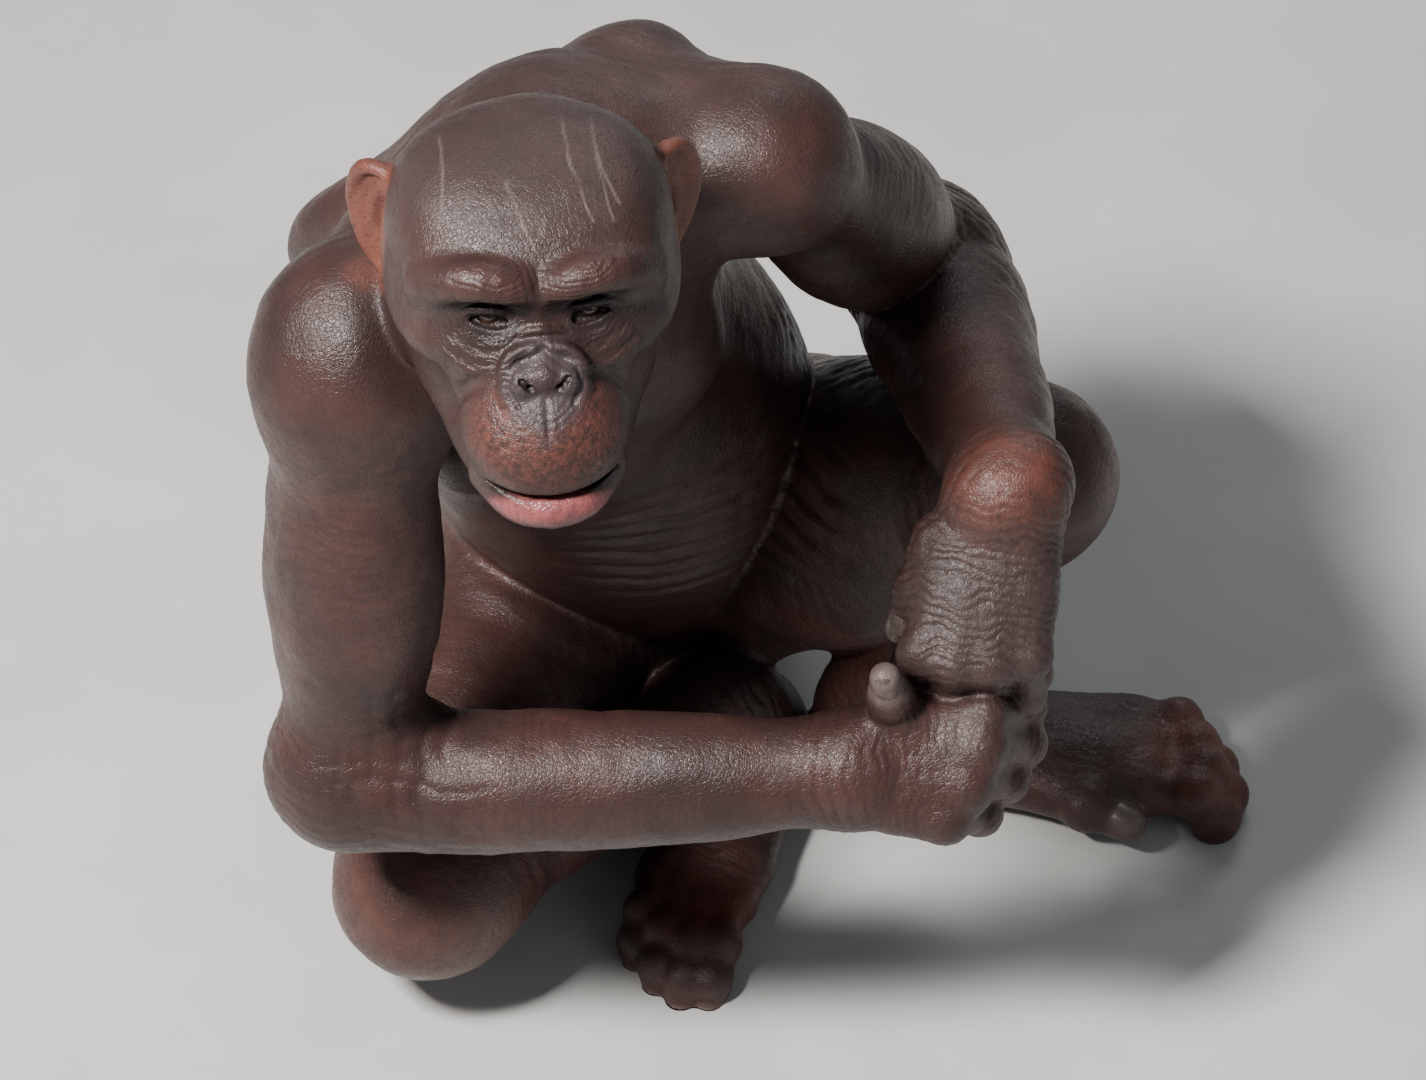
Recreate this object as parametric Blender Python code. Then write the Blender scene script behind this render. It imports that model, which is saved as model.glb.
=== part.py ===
"""A seated chimpanzee, life size, in metres with +Z up; its front is towards -Y and it rests on z = 0."""
import bpy
import bmesh
from mathutils import Matrix
import math
import numpy as np

TRUNK_COUNT, ARM_COUNT, LEG_COUNT = 1100, 460, 520
HEAD_COUNT, EAR_COUNT, HAND_COUNT, FOOT_COUNT = 1040, 220, 520, 460

# ---------------------------------------------------------------- small maths
def vec(*a):
    return np.array(a, float)


def unit(a):
    a = np.asarray(a, float)
    return a / np.linalg.norm(a)


def mix(a, b, t):
    return np.asarray(a, float) * (1 - t) + np.asarray(b, float) * t


def smooth01(t):
    t = np.clip(t, 0, 1)
    return t * t * (3 - 2 * t)


def smin(a, b, k):
    h = np.maximum(k - np.abs(a - b), 0) / k
    return np.minimum(a, b) - h * h * k * 0.25


def smax(a, b, k):
    return -smin(-a, -b, k)


def frame_of(up, side):
    """Right-handed axes as rows: x across, y forward, z along up."""
    z = unit(up)
    x = unit(np.asarray(side, float) - z * np.dot(side, z))
    return np.array([x, np.cross(z, x), z])


def turn(axis, degrees):
    a = unit(axis)
    t = math.radians(degrees)
    k = np.array([[0, -a[2], a[1]], [a[2], 0, -a[0]], [-a[1], a[0], 0]])
    return np.eye(3) + math.sin(t) * k + (1 - math.cos(t)) * (k @ k)


# ---------------------------------------------------------------- rounded shapes
CAP = 0.07  # distances beyond this don't matter


class Shape:
    """A rounded solid: d(x, y, z) is the distance to its surface, lo and hi its box."""

    def __init__(self, d, lo, hi):
        self.d, self.lo, self.hi = d, np.asarray(lo, float), np.asarray(hi, float)


def ell(c, r, axes=None):
    c, r = np.asarray(c, float), np.asarray(r, float)
    R = np.eye(3) if axes is None else np.asarray(axes, float)
    e = np.sqrt(((R * r[:, None]) ** 2).sum(0))

    def d(x, y, z):
        x, y, z = x - c[0], y - c[1], z - c[2]
        if axes is None:
            a, b, q = x, y, z
        else:
            a = R[0, 0] * x + R[0, 1] * y + R[0, 2] * z
            b = R[1, 0] * x + R[1, 1] * y + R[1, 2] * z
            q = R[2, 0] * x + R[2, 1] * y + R[2, 2] * z
        a, b, q = a / r[0], b / r[1], q / r[2]
        k0 = np.sqrt(a * a + b * b + q * q)
        k1 = np.sqrt((a / r[0]) ** 2 + (b / r[1]) ** 2 + (q / r[2]) ** 2)
        return k0 * (k0 - 1) / np.maximum(k1, 1e-6)

    return Shape(d, c - e, c + e)


def cone(a, b, ra, rb, flat=None):
    """A tapered rod with round ends. flat=(direction, share) makes it thinner along direction."""
    a, b = np.asarray(a, float), np.asarray(b, float)
    ab = b - a
    L2 = max(float(ab @ ab), 1e-12)
    if flat is not None:
        n = np.asarray(flat[0], float)
        n = unit(n - ab * (n @ ab) / L2)
        s = float(flat[1])

    def d(x, y, z):
        x, y, z = x - a[0], y - a[1], z - a[2]
        t = np.clip((x * ab[0] + y * ab[1] + z * ab[2]) / L2, 0, 1)
        x, y, z = x - t * ab[0], y - t * ab[1], z - t * ab[2]
        r = ra + (rb - ra) * t
        if flat is None:
            return np.sqrt(x * x + y * y + z * z) - r
        w = x * n[0] + y * n[1] + z * n[2]
        q = x * x + y * y + z * z - w * w
        k0 = np.sqrt(q + (w / s) ** 2)
        k1 = np.sqrt(q + (w / s**2) ** 2)
        return (k0 - r) * k0 / np.maximum(k1, 1e-6)

    m = max(ra, rb)
    return Shape(d, np.minimum(a, b) - m, np.maximum(a, b) + m)


def spline(points, n):
    """n + 1 places and widths along a smooth curve through (x, y, z, width) points."""
    p = np.array([list(q) for q in points], float)
    m = len(p) - 1
    out = []
    for i in range(n + 1):
        s = i / n * m
        j = min(int(s), m - 1)
        t = s - j
        p0, p1, p2, p3 = p[max(j - 1, 0)], p[j], p[j + 1], p[min(j + 2, m)]
        out.append(
            0.5
            * (
                2 * p1
                + (p2 - p0) * t
                + (2 * p0 - 5 * p1 + 4 * p2 - p3) * t * t
                + (3 * p1 - p0 - 3 * p2 + p3) * t**3
            )
        )
    return np.array(out)


def tube(points, n=8, flat=None):
    """A bent rod through (x, y, z, radius) points."""
    q = spline(points, n)
    parts = [cone(q[i, :3], q[i + 1, :3], q[i, 3], q[i + 1, 3], flat) for i in range(n)]

    def d(x, y, z):
        f = parts[0].d(x, y, z)
        for s in parts[1:]:
            f = np.minimum(f, s.d(x, y, z))
        return f

    return Shape(
        d, np.min([s.lo for s in parts], axis=0), np.max([s.hi for s in parts], axis=0)
    )


class Flesh:
    """Shapes joined one after another in a frame of their own. mirror=True repeats each shape across its own x."""

    def __init__(self, origin=(0, 0, 0), axes=None, mirror=False):
        self.o = np.asarray(origin, float)
        self.R = np.eye(3) if axes is None else np.asarray(axes, float)
        self.mirror = mirror
        self.items = []

    def world(self, p):
        return self.o + np.asarray(p, float) @ self.R

    def put(self, shape, k=0.02, cut=False, both=None):
        both = self.mirror if both is None else both
        lo, hi = shape.lo.copy(), shape.hi.copy()
        if both:
            m = max(abs(lo[0]), abs(hi[0]))
            lo[0], hi[0] = -m, m
        corners = np.array(
            [[(lo, hi)[i][0], (lo, hi)[j][1], (lo, hi)[q][2]] for i in (0, 1) for j in (0, 1) for q in (0, 1)]
        )
        w = self.world(corners)
        self.items.append((shape.d, w.min(0), w.max(0), k, cut, both))
        return self

    def add(self, shape, k=0.02, both=None):
        return self.put(shape, k, False, both)

    def cut(self, shape, k=0.01, both=None):
        return self.put(shape, k, True, both)

    def at(self, x, y, z, lo, hi):
        """Distance at the points, which all lie between lo and hi."""
        f = None
        local = None
        for d, a, b, k, cut, both in self.items:
            m = CAP if not cut else k + 0.02
            if (a - m > hi).any() or (b + m < lo).any():
                continue
            if local is None:
                X, Y, Z = x - self.o[0], y - self.o[1], z - self.o[2]
                R = self.R
                local = (
                    R[0, 0] * X + R[0, 1] * Y + R[0, 2] * Z,
                    R[1, 0] * X + R[1, 1] * Y + R[1, 2] * Z,
                    R[2, 0] * X + R[2, 1] * Y + R[2, 2] * Z,
                )
                away = np.abs(local[0])
                f = np.full(x.shape, CAP, x.dtype)
            g = d(away if both else local[0], local[1], local[2])
            f = smax(f, -g, k) if cut else smin(f, g, k)
        return f


# ---------------------------------------------------------------- from distance to mesh
def sample(field, lo, hi, h, block=16):
    """The field at the grid's points, worked out only near the surface."""
    lo = np.asarray(lo, float)
    n = [int(math.ceil((hi[i] - lo[i]) / h / block)) * block for i in range(3)]
    grid = np.full([m + 1 for m in n], CAP, np.float32)
    step = block // 4
    ax = [lo[i] + h * np.arange(0, n[i] + 1, step) for i in range(3)]
    shape = [len(a) for a in ax]
    coarse = np.empty(shape, np.float32)
    for i in range(0, shape[0], 8):
        for j in range(0, shape[1], 8):
            for q in range(0, shape[2], 8):
                s = (slice(i, i + 8), slice(j, j + 8), slice(q, q + 8))
                X, Y, Z = np.meshgrid(ax[0][s[0]], ax[1][s[1]], ax[2][s[2]], indexing="ij")
                coarse[s] = field(X.astype(np.float32), Y.astype(np.float32), Z.astype(np.float32))
    reach = h * step * 1.9
    for i in range(0, n[0], block):
        for j in range(0, n[1], block):
            for q in range(0, n[2], block):
                a, b, c = i // step, j // step, q // step
                part = coarse[a : a + 5, b : b + 5, c : c + 5]
                s = (slice(i, i + block + 1), slice(j, j + block + 1), slice(q, q + block + 1))
                if np.abs(part).min() > reach and (part.min() > 0 or part.max() < 0):
                    grid[s] = CAP if part.min() > 0 else -CAP
                    continue
                x = lo[0] + h * np.arange(i, i + block + 1)
                y = lo[1] + h * np.arange(j, j + block + 1)
                z = lo[2] + h * np.arange(q, q + block + 1)
                X, Y, Z = np.meshgrid(x, y, z, indexing="ij")
                grid[s] = field(X.astype(np.float32), Y.astype(np.float32), Z.astype(np.float32))
    return grid


def well_made(grid, eps=1e-4):
    """Fills the corners where the surface would touch itself, so that every edge has two faces."""
    g = grid
    for _ in range(12):
        s = g < 0
        changed = 0
        for ax in ((0, 1), (0, 2), (1, 2)):
            def sl(a, b):
                v = [slice(None)] * 3
                v[ax[0]] = slice(1, None) if a else slice(0, -1)
                v[ax[1]] = slice(1, None) if b else slice(0, -1)
                return tuple(v)

            p, q, r, t = s[sl(0, 0)], s[sl(1, 0)], s[sl(0, 1)], s[sl(1, 1)]
            bad1 = p & t & ~q & ~r
            bad2 = q & r & ~p & ~t
            changed += int(bad1.sum() + bad2.sum())
            g[sl(1, 0)][bad1] = -eps
            g[sl(0, 0)][bad2] = -eps
            s = g < 0
        c = [s[(slice(i, i - 1 or None), slice(j, j - 1 or None), slice(k, k - 1 or None))] for i in (0, 1) for j in (0, 1) for k in (0, 1)]
        n = sum(x.astype(np.int8) for x in c)
        for a, b in ((0, 7), (1, 6), (2, 5), (3, 4)):
            for bad, low in (((n == 2) & c[a] & c[b], True), ((n == 6) & ~c[a] & ~c[b], False)):
                if bad.any():
                    changed += int(bad.sum())
                    i, j, k = np.nonzero(bad)
                    w = a ^ 1 if low else a
                    g[i + (w >> 2 & 1), j + (w >> 1 & 1), k + (w & 1)] = -eps
        if not changed:
            break
    return g


def surface(grid, lo, h):
    """Points and four-cornered faces of the surface where grid passes through zero."""
    g = grid
    s = g < 0
    n = sum(
        s[(slice(i, i - 1 or None), slice(j, j - 1 or None), slice(k, k - 1 or None))].astype(np.int8)
        for i in (0, 1) for j in (0, 1) for k in (0, 1)
    )
    cell = np.argwhere((n > 0) & (n < 8))
    index = np.full(n.shape, -1, np.int32)
    index[tuple(cell.T)] = np.arange(len(cell))
    at = np.zeros((len(cell), 3))
    hits = np.zeros(len(cell))
    corner = [(i, j, k) for i in (0, 1) for j in (0, 1) for k in (0, 1)]
    val = [g[cell[:, 0] + i, cell[:, 1] + j, cell[:, 2] + k].astype(float) for i, j, k in corner]
    for a in range(8):
        for b in range(a + 1, 8):
            d = np.array(corner[b]) - np.array(corner[a])
            if abs(d).sum() != 1:
                continue
            va, vb = val[a], val[b]
            m = (va < 0) != (vb < 0)
            t = np.where(m, va / np.where(m, va - vb, 1), 0)
            p = np.array(corner[a])[None] + t[:, None] * d[None]
            at += p * m[:, None]
            hits += m
    at = at / hits[:, None]
    verts = np.asarray(lo)[None] + h * (cell + at)
    quads = []
    for ax in range(3):
        u, w = [(1, 2), (2, 0), (0, 1)][ax]
        i0 = [slice(1, -1)] * 3
        i1 = [slice(1, -1)] * 3
        i0[ax], i1[ax] = slice(0, -1), slice(1, None)
        a, b = s[tuple(i0)], s[tuple(i1)]
        for flip in (False, True):
            e = np.argwhere(a & ~b if not flip else ~a & b)
            if not len(e):
                continue
            off = np.ones(3, int)
            off[ax] = 0
            e = e + off
            du, dw = np.zeros(3, int), np.zeros(3, int)
            du[u], dw[w] = 1, 1
            c = [index[tuple((e - du - dw).T)], index[tuple((e - dw).T)], index[tuple(e.T)], index[tuple((e - du).T)]]
            quads.append(np.stack(c if not flip else c[::-1], 1))
    quads = np.concatenate(quads)
    return verts, quads

# ---------------------------------------------------------------- the pose: joint centres in metres
SHOULDER_R = vec(-0.184, -0.362, 0.512)
ELBOW_R = vec(-0.195, -0.413, 0.243)
WRIST_R = vec(0.070, -0.430, 0.257)
SHOULDER_L = vec(0.026, -0.240, 0.524)
ELBOW_L = vec(0.118, -0.080, 0.303)
WRIST_L = vec(0.158, -0.340, 0.380)
HIP_R = vec(-0.105, -0.115, 0.088)
KNEE_R = vec(-0.158, -0.352, 0.085)
ANKLE_R = vec(0.005, -0.203, 0.062)
HIP_L = vec(0.000, -0.078, 0.112)
KNEE_L = vec(0.168, -0.222, 0.272)
ANKLE_L = vec(0.100, -0.192, 0.062)
PELVIS = vec(-0.050, -0.088, 0.112)
CHEST = vec(-0.082, -0.190, 0.362)
NECK = vec(-0.086, -0.300, 0.515)
HEAD = vec(-0.0945, -0.376, 0.600)


def aim(yaw, pitch, roll=0.0):
    """Axes (left, back, up) of a part that looks along yaw and pitch in degrees; roll lifts its left side."""
    a, p = math.radians(yaw), math.radians(pitch)
    front = vec(math.sin(a) * math.cos(p), -math.cos(a) * math.cos(p), math.sin(p))
    up = vec(-math.sin(a) * math.sin(p), math.cos(a) * math.sin(p), math.cos(p))
    left = np.cross(-front, up)
    R = np.array([left, -front, up])
    return R @ turn(front, roll).T


HEAD_AXES = aim(5, 9, 0.8)


def head_flesh():
    h = Flesh(HEAD, HEAD_AXES, True)
    h.add(ell((0, -0.020, 0.023), (0.062, 0.073, 0.050)), both=False)
    h.add(ell((0.040, -0.024, 0.020), (0.029, 0.052, 0.040)), 0.03)
    h.add(ell((0, 0.016, 0.008), (0.054, 0.040, 0.042)), 0.03, both=False)
    h.add(ell((0, -0.064, 0.012), (0.056, 0.030, 0.028)), 0.02, both=False)
    # brow
    h.add(tube([(0.002, -0.093, 0.026, 0.0080), (0.013, -0.097, 0.031, 0.0095), (0.027, -0.096, 0.035, 0.0105), (0.043, -0.088, 0.031, 0.0105), (0.057, -0.072, 0.019, 0.009)], 10), 0.009)
    # cheekbone and its arch back to the ear
    h.add(tube([(0.038, -0.082, -0.012, 0.010), (0.054, -0.068, -0.012, 0.012), (0.062, -0.040, -0.010, 0.011), (0.063, -0.006, -0.004, 0.010)], 8), 0.02)
    h.add(ell((0, -0.058, -0.022), (0.047, 0.040, 0.042)), 0.02, both=False)
    # muzzle
    h.add(ell((0, -0.088, -0.044), (0.042, 0.044, 0.036), aim(0, -12)), 0.02, both=False)
    h.add(ell((0, -0.106, -0.054), (0.039, 0.031, 0.022), aim(0, -16)), 0.015, both=False)
    h.add(ell((0, -0.096, -0.016), (0.016, 0.013, 0.016)), 0.012, both=False)
    # jaw
    h.add(tube([(0.048, -0.004, -0.030, 0.017), (0.042, -0.018, -0.060, 0.018), (0.029, -0.060, -0.080, 0.018), (0.011, -0.096, -0.092, 0.018)], 10), 0.02)
    h.add(ell((0, -0.068, -0.074), (0.032, 0.045, 0.020)), 0.02, both=False)
    h.add(ell((0.047, -0.026, -0.034), (0.016, 0.032, 0.032)), 0.02)
    # lower lip
    h.add(tube([(0.0, -0.128, -0.086, 0.0085), (0.017, -0.122, -0.084, 0.0085), (0.030, -0.106, -0.076, 0.008)], 8), 0.014)
    return h


def ear_flesh(s):
    """s is 1 for the left ear, -1 for the right one."""
    R = HEAD_AXES
    w = unit(vec(0.86 * s, 0.50, 0.0))
    up = unit(vec(0.10 * s, 0.05, 1.0))
    n = unit(np.cross(w, up) * s)
    A = np.array([w, n, np.cross(w, n) * (1 if np.cross(w, n) @ up > 0 else -1)])
    e = Flesh(HEAD + vec(0.061 * s, 0.004, 0.002) @ R, A @ R)
    e.add(ell((0.014, -0.004, 0.003), (0.021, 0.0050, 0.033)))
    e.add(ell((0.000, 0.000, 0.000), (0.013, 0.012, 0.026)), 0.008)
    return e


def trunk_flesh():
    T = frame_of(NECK - PELVIS, SHOULDER_L - SHOULDER_R)
    t = Flesh(CHEST, T, True)
    t.add(ell((-0.012, 0.000, -0.02), (0.100, 0.095, 0.175)), both=False)
    t.add(ell((-0.014, 0.014, 0.080), (0.090, 0.076, 0.098)), 0.05, both=False)
    t.add(ell((-0.052, -0.062, 0.070), (0.058, 0.032, 0.052)), 0.03, both=False)
    t.add(ell((0.030, -0.062, 0.070), (0.036, 0.032, 0.052)), 0.03, both=False)
    t.add(ell((0.070, 0.062, 0.075), (0.050, 0.030, 0.075), frame_of(vec(0.15, 0, 1), vec(1, 0.25, 0))), 0.03)
    t.add(ell((-0.072, 0.025, -0.005), (0.040, 0.055, 0.120)), 0.03, both=False)
    t.add(ell((0.056, 0.025, -0.005), (0.036, 0.055, 0.120)), 0.03, both=False)
    t.cut(cone((0, 0.120, -0.16), (0, 0.117, 0.12), 0.010, 0.008), 0.03, both=False)
    return t


def pelvis_flesh():
    t = Flesh(PELVIS, aim(24, -6), True)
    t.add(ell((0, 0.0, 0.03), (0.107, 0.084, 0.110)), both=False)
    t.add(ell((0.006, -0.060, -0.040), (0.046, 0.040, 0.050)), 0.03, both=False)
    t.add(ell((0.062, 0.034, -0.038), (0.068, 0.078, 0.080)), 0.03)
    return t


def belly_flesh():
    t = Flesh(PELVIS, aim(24, -6))
    t.add(ell((-0.010, -0.030, 0.120), (0.099, 0.094, 0.125)))
    return t


def girdle_flesh():
    g = Flesh()
    g.add(cone(SHOULDER_R, mix(SHOULDER_R, NECK, 0.75) + vec(0, 0.05, -0.02), 0.048, 0.054))
    g.add(cone(SHOULDER_L, mix(SHOULDER_L, NECK, 0.75) + vec(0, 0.05, -0.02), 0.036, 0.054), 0.04)
    g.add(cone(mix(SHOULDER_R, NECK, 0.35) + vec(0, 0.04, 0), NECK + vec(0, 0.06, 0.005), 0.034, 0.042), 0.04)
    g.add(cone(mix(SHOULDER_L, NECK, 0.35) + vec(0, 0.03, 0), NECK + vec(0, 0.06, 0.005), 0.030, 0.042), 0.04)
    g.add(cone(vec(-0.050, -0.163, 0.484), vec(0.022, -0.214, 0.520), 0.030, 0.034), 0.03)
    return g


def neck_flesh():
    n = Flesh()
    n.add(cone(NECK + vec(0.0, 0.030, -0.03), HEAD + vec(0, 0.012, -0.030), 0.060, 0.050))
    n.add(cone(NECK + vec(0.0, 0.050, -0.01), HEAD + vec(0, 0.030, -0.012), 0.050, 0.040), 0.03)
    return n


def arm_flesh(s, e, w, bend, wide, cap, swell, fore, sag, scale=1.0):
    """One arm: s, e, w its joints, bend where the elbow points, wide the broad direction of the forearm,
    swell how far the muscles stand out from the bone, fore the half widths of the forearm and sag how its
    muscles hang."""
    a, b = Flesh(), Flesh()
    u = unit(e - s)
    f = unit(w - e)
    out = unit(np.asarray(bend, float) - u * (u @ bend))
    k = scale
    # shoulder cap
    a.add(ell(s + u * (cap - 0.024), (cap, cap * 1.04, cap * 1.3), frame_of(u, out)))
    a.add(cone(s + u * 0.03, e - u * 0.02, cap * 0.88, 0.036 * k), 0.02)
    # biceps in front, triceps behind
    a.add(ell(mix(s, e, 0.56) - out * swell, (0.036 * k, 0.041 * k, 0.080), frame_of(u, out)), 0.02)
    a.add(ell(mix(s, e, 0.52) + out * swell, (0.038 * k, 0.043 * k, 0.095), frame_of(u, out)), 0.02)
    # elbow
    a.add(ell(e + unit(unit(s - e) * -0.5 - f) * 0.008, (0.034, 0.036, 0.034), frame_of(f, out)), 0.025)
    # forearm
    b.add(cone(e + sag * 0.6, w, 0.033 * k, 0.025 * k), 0.02)
    b.add(ell(mix(e, w, 0.27) + sag, (fore[0] * k, 0.038 * k, 0.092), frame_of(f, wide)), 0.02)
    b.add(ell(mix(e, w, 0.62) + sag * 0.7, (fore[1] * k, 0.029 * k, 0.090), frame_of(f, wide)), 0.02)
    b.add(ell(w, (fore[2] * k, 0.025 * k, 0.030), frame_of(f, wide)), 0.02)
    return a, b


def arm_parts(s):
    if s == "r":
        a, b = arm_flesh(SHOULDER_R, ELBOW_R, WRIST_R, unit(vec(-0.3, 0.9, -0.1)), vec(0, 0.6, 0.8), 0.050, 0.017, (0.036, 0.033, 0.028), vec(0, -0.008, -0.008))
        e, w, hand = ELBOW_R, WRIST_R, right_hand()
    else:
        a, b = arm_flesh(SHOULDER_L, ELBOW_L, WRIST_L, unit(vec(0.3, 0.5, 0.7)), vec(1, 0.1, 0.2), 0.040, 0.010, (0.046, 0.036, 0.032), vec(0, 0, 0), 1.04)
        e, w, hand = ELBOW_L, WRIST_L, left_hand()
    return [("upper_arm_" + s, a, 0, None), ("forearm_" + s, b, 0.030, (e, 0.055, 0.085)), ("hand_" + s, hand, 0.012, (w, 0.03, 0.05))]


def leg_flesh(h, k, a, front, thick):
    l, m = Flesh(), Flesh()
    u = unit(k - h)
    s = unit(a - k)
    fr = unit(np.asarray(front, float) - u * (u @ front))
    l.add(cone(h, k, thick, 0.048))
    l.add(ell(mix(h, k, 0.50) + fr * 0.022, (0.052, 0.056, 0.115), frame_of(u, fr)), 0.03)
    l.add(ell(mix(h, k, 0.42) - fr * 0.038, (0.054, 0.058, 0.110), frame_of(u, fr)), 0.03)
    l.add(ell(k + u * 0.004, (0.046, 0.048, 0.050), frame_of(u, fr)), 0.02)
    m.add(cone(k, a, 0.042, 0.029), 0.02)
    b = unit(-(u - s * (u @ s)))
    m.add(ell(mix(k, a, 0.40) + b * 0.016, (0.036, 0.040, 0.080), frame_of(s, b)), 0.02)
    return l, m


def leg_parts(s):
    if s == "r":
        a, b = leg_flesh(HIP_R, KNEE_R, ANKLE_R, unit(vec(-0.5, -0.2, 0.9)), 0.07)
        k, w, foot = KNEE_R, ANKLE_R, right_foot()
    else:
        a, b = leg_flesh(HIP_L, KNEE_L, ANKLE_L, unit(vec(0.0, 0.6, 0.8)), 0.07)
        k, w, foot = KNEE_L, ANKLE_L, left_foot()
    return [("thigh_" + s, a, 0, None), ("shin_" + s, b, 0.025, (k, 0.06, 0.09)), ("foot_" + s, foot, 0.02, (w, 0.055, 0.08))]


def digit(base, way, axis, lengths, bends, radii):
    """The joints (x, y, z, radius) of a finger or toe that starts along way and bends about axis."""
    p = np.asarray(base, float)
    d = unit(way)
    out = [(*p, radii[0])]
    for L, b, r in zip(lengths, bends, radii[1:]):
        d = turn(axis, b) @ d
        p = p + d * L
        out.append((*p, r))
    return out


def put_digit(f, pts, k, knuckle=1.12):
    for i in range(len(pts) - 1):
        a, b = pts[i], pts[i + 1]
        f.add(cone(a[:3], b[:3], a[3] * 0.93, b[3] * 0.93), k if i == 0 else 0.006)
        if i:
            f.add(ell(a[:3], (a[3] * knuckle,) * 3), 0.006)
    return f


# finger widths and lengths of the hand, from index to little finger
FINGER = [(0.046, 0.030, 0.022), (0.050, 0.034, 0.023), (0.048, 0.032, 0.022), (0.040, 0.025, 0.020)]
FINGER_R = [0.0112, 0.0118, 0.0114, 0.0102]


def hand_flesh(w, way, thumb, back, palm, bends, fans, thumb_pts, short=(0, -0.002, 0.002, 0.009)):
    """w wrist, way fingers' direction, thumb the thumb's side, back the back of the hand; short is how
    much nearer to the wrist each knuckle lies."""
    f = Flesh()
    d = unit(way)
    t = unit(np.asarray(thumb, float) - d * (d @ thumb))
    n = unit(np.cross(d, t))
    if n @ back < 0:
        n = -n
    axis = np.cross(n, d)  # a positive turn about it bends towards the back
    f.add(ell(w + d * 0.012, (0.031, 0.022, 0.028), frame_of(d, t)))
    f.add(ell(w + d * palm * 0.55 - n * 0.004, (0.036, 0.017, palm * 0.50), frame_of(d, t)), 0.015)
    for i in range(4):
        s = (0.029 - 0.0192 * i)
        m = w + d * (palm - short[i]) + t * s + n * (0, 0.003, 0.002, -0.002)[i]
        c = w + d * 0.018 + t * s * 0.55
        f.add(cone(c, m, 0.0125, FINGER_R[i] * 1.10), 0.012)
        way_i = unit(d + t * fans[i])
        r = FINGER_R[i]
        put_digit(f, digit(m, way_i, axis, FINGER[i], bends[i], [r * 1.05, r, r * 0.93, r * 0.80]), 0.008)
    put_digit(f, thumb_pts, 0.016)
    return f


def right_hand():
    w = WRIST_R
    way = unit(vec(0.95, -0.10, 0.10))
    up = vec(0.0, 0.66, 0.75)
    back = unit(vec(0.0, -0.75, 0.66))
    d = way
    curl = [(70, 85, 55)] * 4
    th = w + unit(way) * 0.030 + unit(up) * 0.026
    thumb = digit(th, unit(vec(-0.19, -0.22, 0.95)), vec(1, 0, 0), (0.024, 0.020), (0, 0), [0.0145, 0.0110, 0.0090])
    return hand_flesh(w, way, up, back, 0.077, curl, (0.0, 0, 0, 0), thumb, (0.001, 0.003, 0.011, 0.022))


def left_hand():
    w = WRIST_L
    way = unit(vec(-0.20, -0.70, -0.72))
    side = vec(-1.0, 0.10, 0.05)
    back = unit(vec(0.0, -0.70, 0.70))
    curl = [(58, 60, 40)] * 4
    th = w + unit(way) * 0.030 + vec(-0.034, 0.006, -0.004)
    thumb = digit(th, unit(vec(-0.35, -0.45, -0.80)), vec(1, 0, 0), (0.030, 0.022), (0, 0), [0.014, 0.011, 0.009])
    return hand_flesh(w, way, side, back, 0.096, curl, (0.05, 0.0, 0, -0.04), thumb)


def foot_flesh(heel, ball, ankle, inside, curls, hallux, wide):
    """heel and ball on the sole's middle, inside points to the big toe's side."""
    f = Flesh()
    d = unit((ball - heel) * vec(1, 1, 0))
    n = unit(np.asarray(inside, float) - d * (d @ inside))
    up = vec(0, 0, 1)
    L = np.linalg.norm(ball - heel)
    f.add(ell(heel + d * 0.012 + up * 0.024, (0.027, 0.036, 0.027), frame_of(up, n)))
    f.add(cone(ankle, heel + d * 0.035 + up * 0.026, 0.031, 0.027), 0.03)
    f.add(cone(ankle, heel + d * 0.075 + up * 0.030, 0.030, 0.024), 0.03)
    f.add(cone(heel + d * 0.03 + up * 0.022, ball - d * 0.02 + up * 0.018 + n * 0.004, 0.028, 0.021), 0.02)
    axis = np.cross(up, d)  # a positive turn bends down
    for i in range(4):
        s = (0.018 - 0.0165 * i) * wide
        m = ball + n * s + up * 0.019 - d * (0, 0, 0.004, 0.012)[i]
        c = heel + d * 0.065 + n * s * 0.5 + up * 0.030
        r = (0.0122, 0.0122, 0.0116, 0.0108)[i] * wide
        f.add(cone(c, m, 0.018, r * 1.15), 0.014)
        q = (0.034, 0.036, 0.034, 0.030)[i]
        put_digit(f, digit(m, d, axis, (q, q * 0.62, q * 0.52), curls, [r, r * 0.95, r * 0.92, r * 0.82]), 0.008)
    put_digit(f, hallux, 0.018)
    return f


def right_foot():
    heel, ball = vec(0.028, -0.162, 0.0), vec(-0.006, -0.307, 0.0)
    d = unit(ball - heel)
    n = unit(vec(1, -0.3, 0))
    b = heel + d * 0.075 + n * 0.013 + vec(0, 0, 0.026)
    hallux = digit(b, unit(d + n * 0.10), vec(1, 0, 0), (0.044, 0.026), (6, 10), [0.016, 0.013, 0.0105])
    return foot_flesh(heel, ball, ANKLE_R, n, (-6, 40, 36), hallux, 0.95)


def left_foot():
    heel, ball = vec(0.074, -0.184, 0.0), vec(0.246, -0.209, 0.008)
    d = unit(ball - heel)
    n = unit(vec(-0.08, -1, 0))
    b = heel + d * 0.098 + n * 0.020 + vec(0, 0, 0.024)
    hallux = digit(b, unit(d + n * 0.38), vec(1, 0, 0), (0.050, 0.028), (6, 10), [0.016, 0.0135, 0.011])
    return foot_flesh(heel, ball, ANKLE_L, n, (-2, 58, 40), hallux, 1.12)


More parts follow.
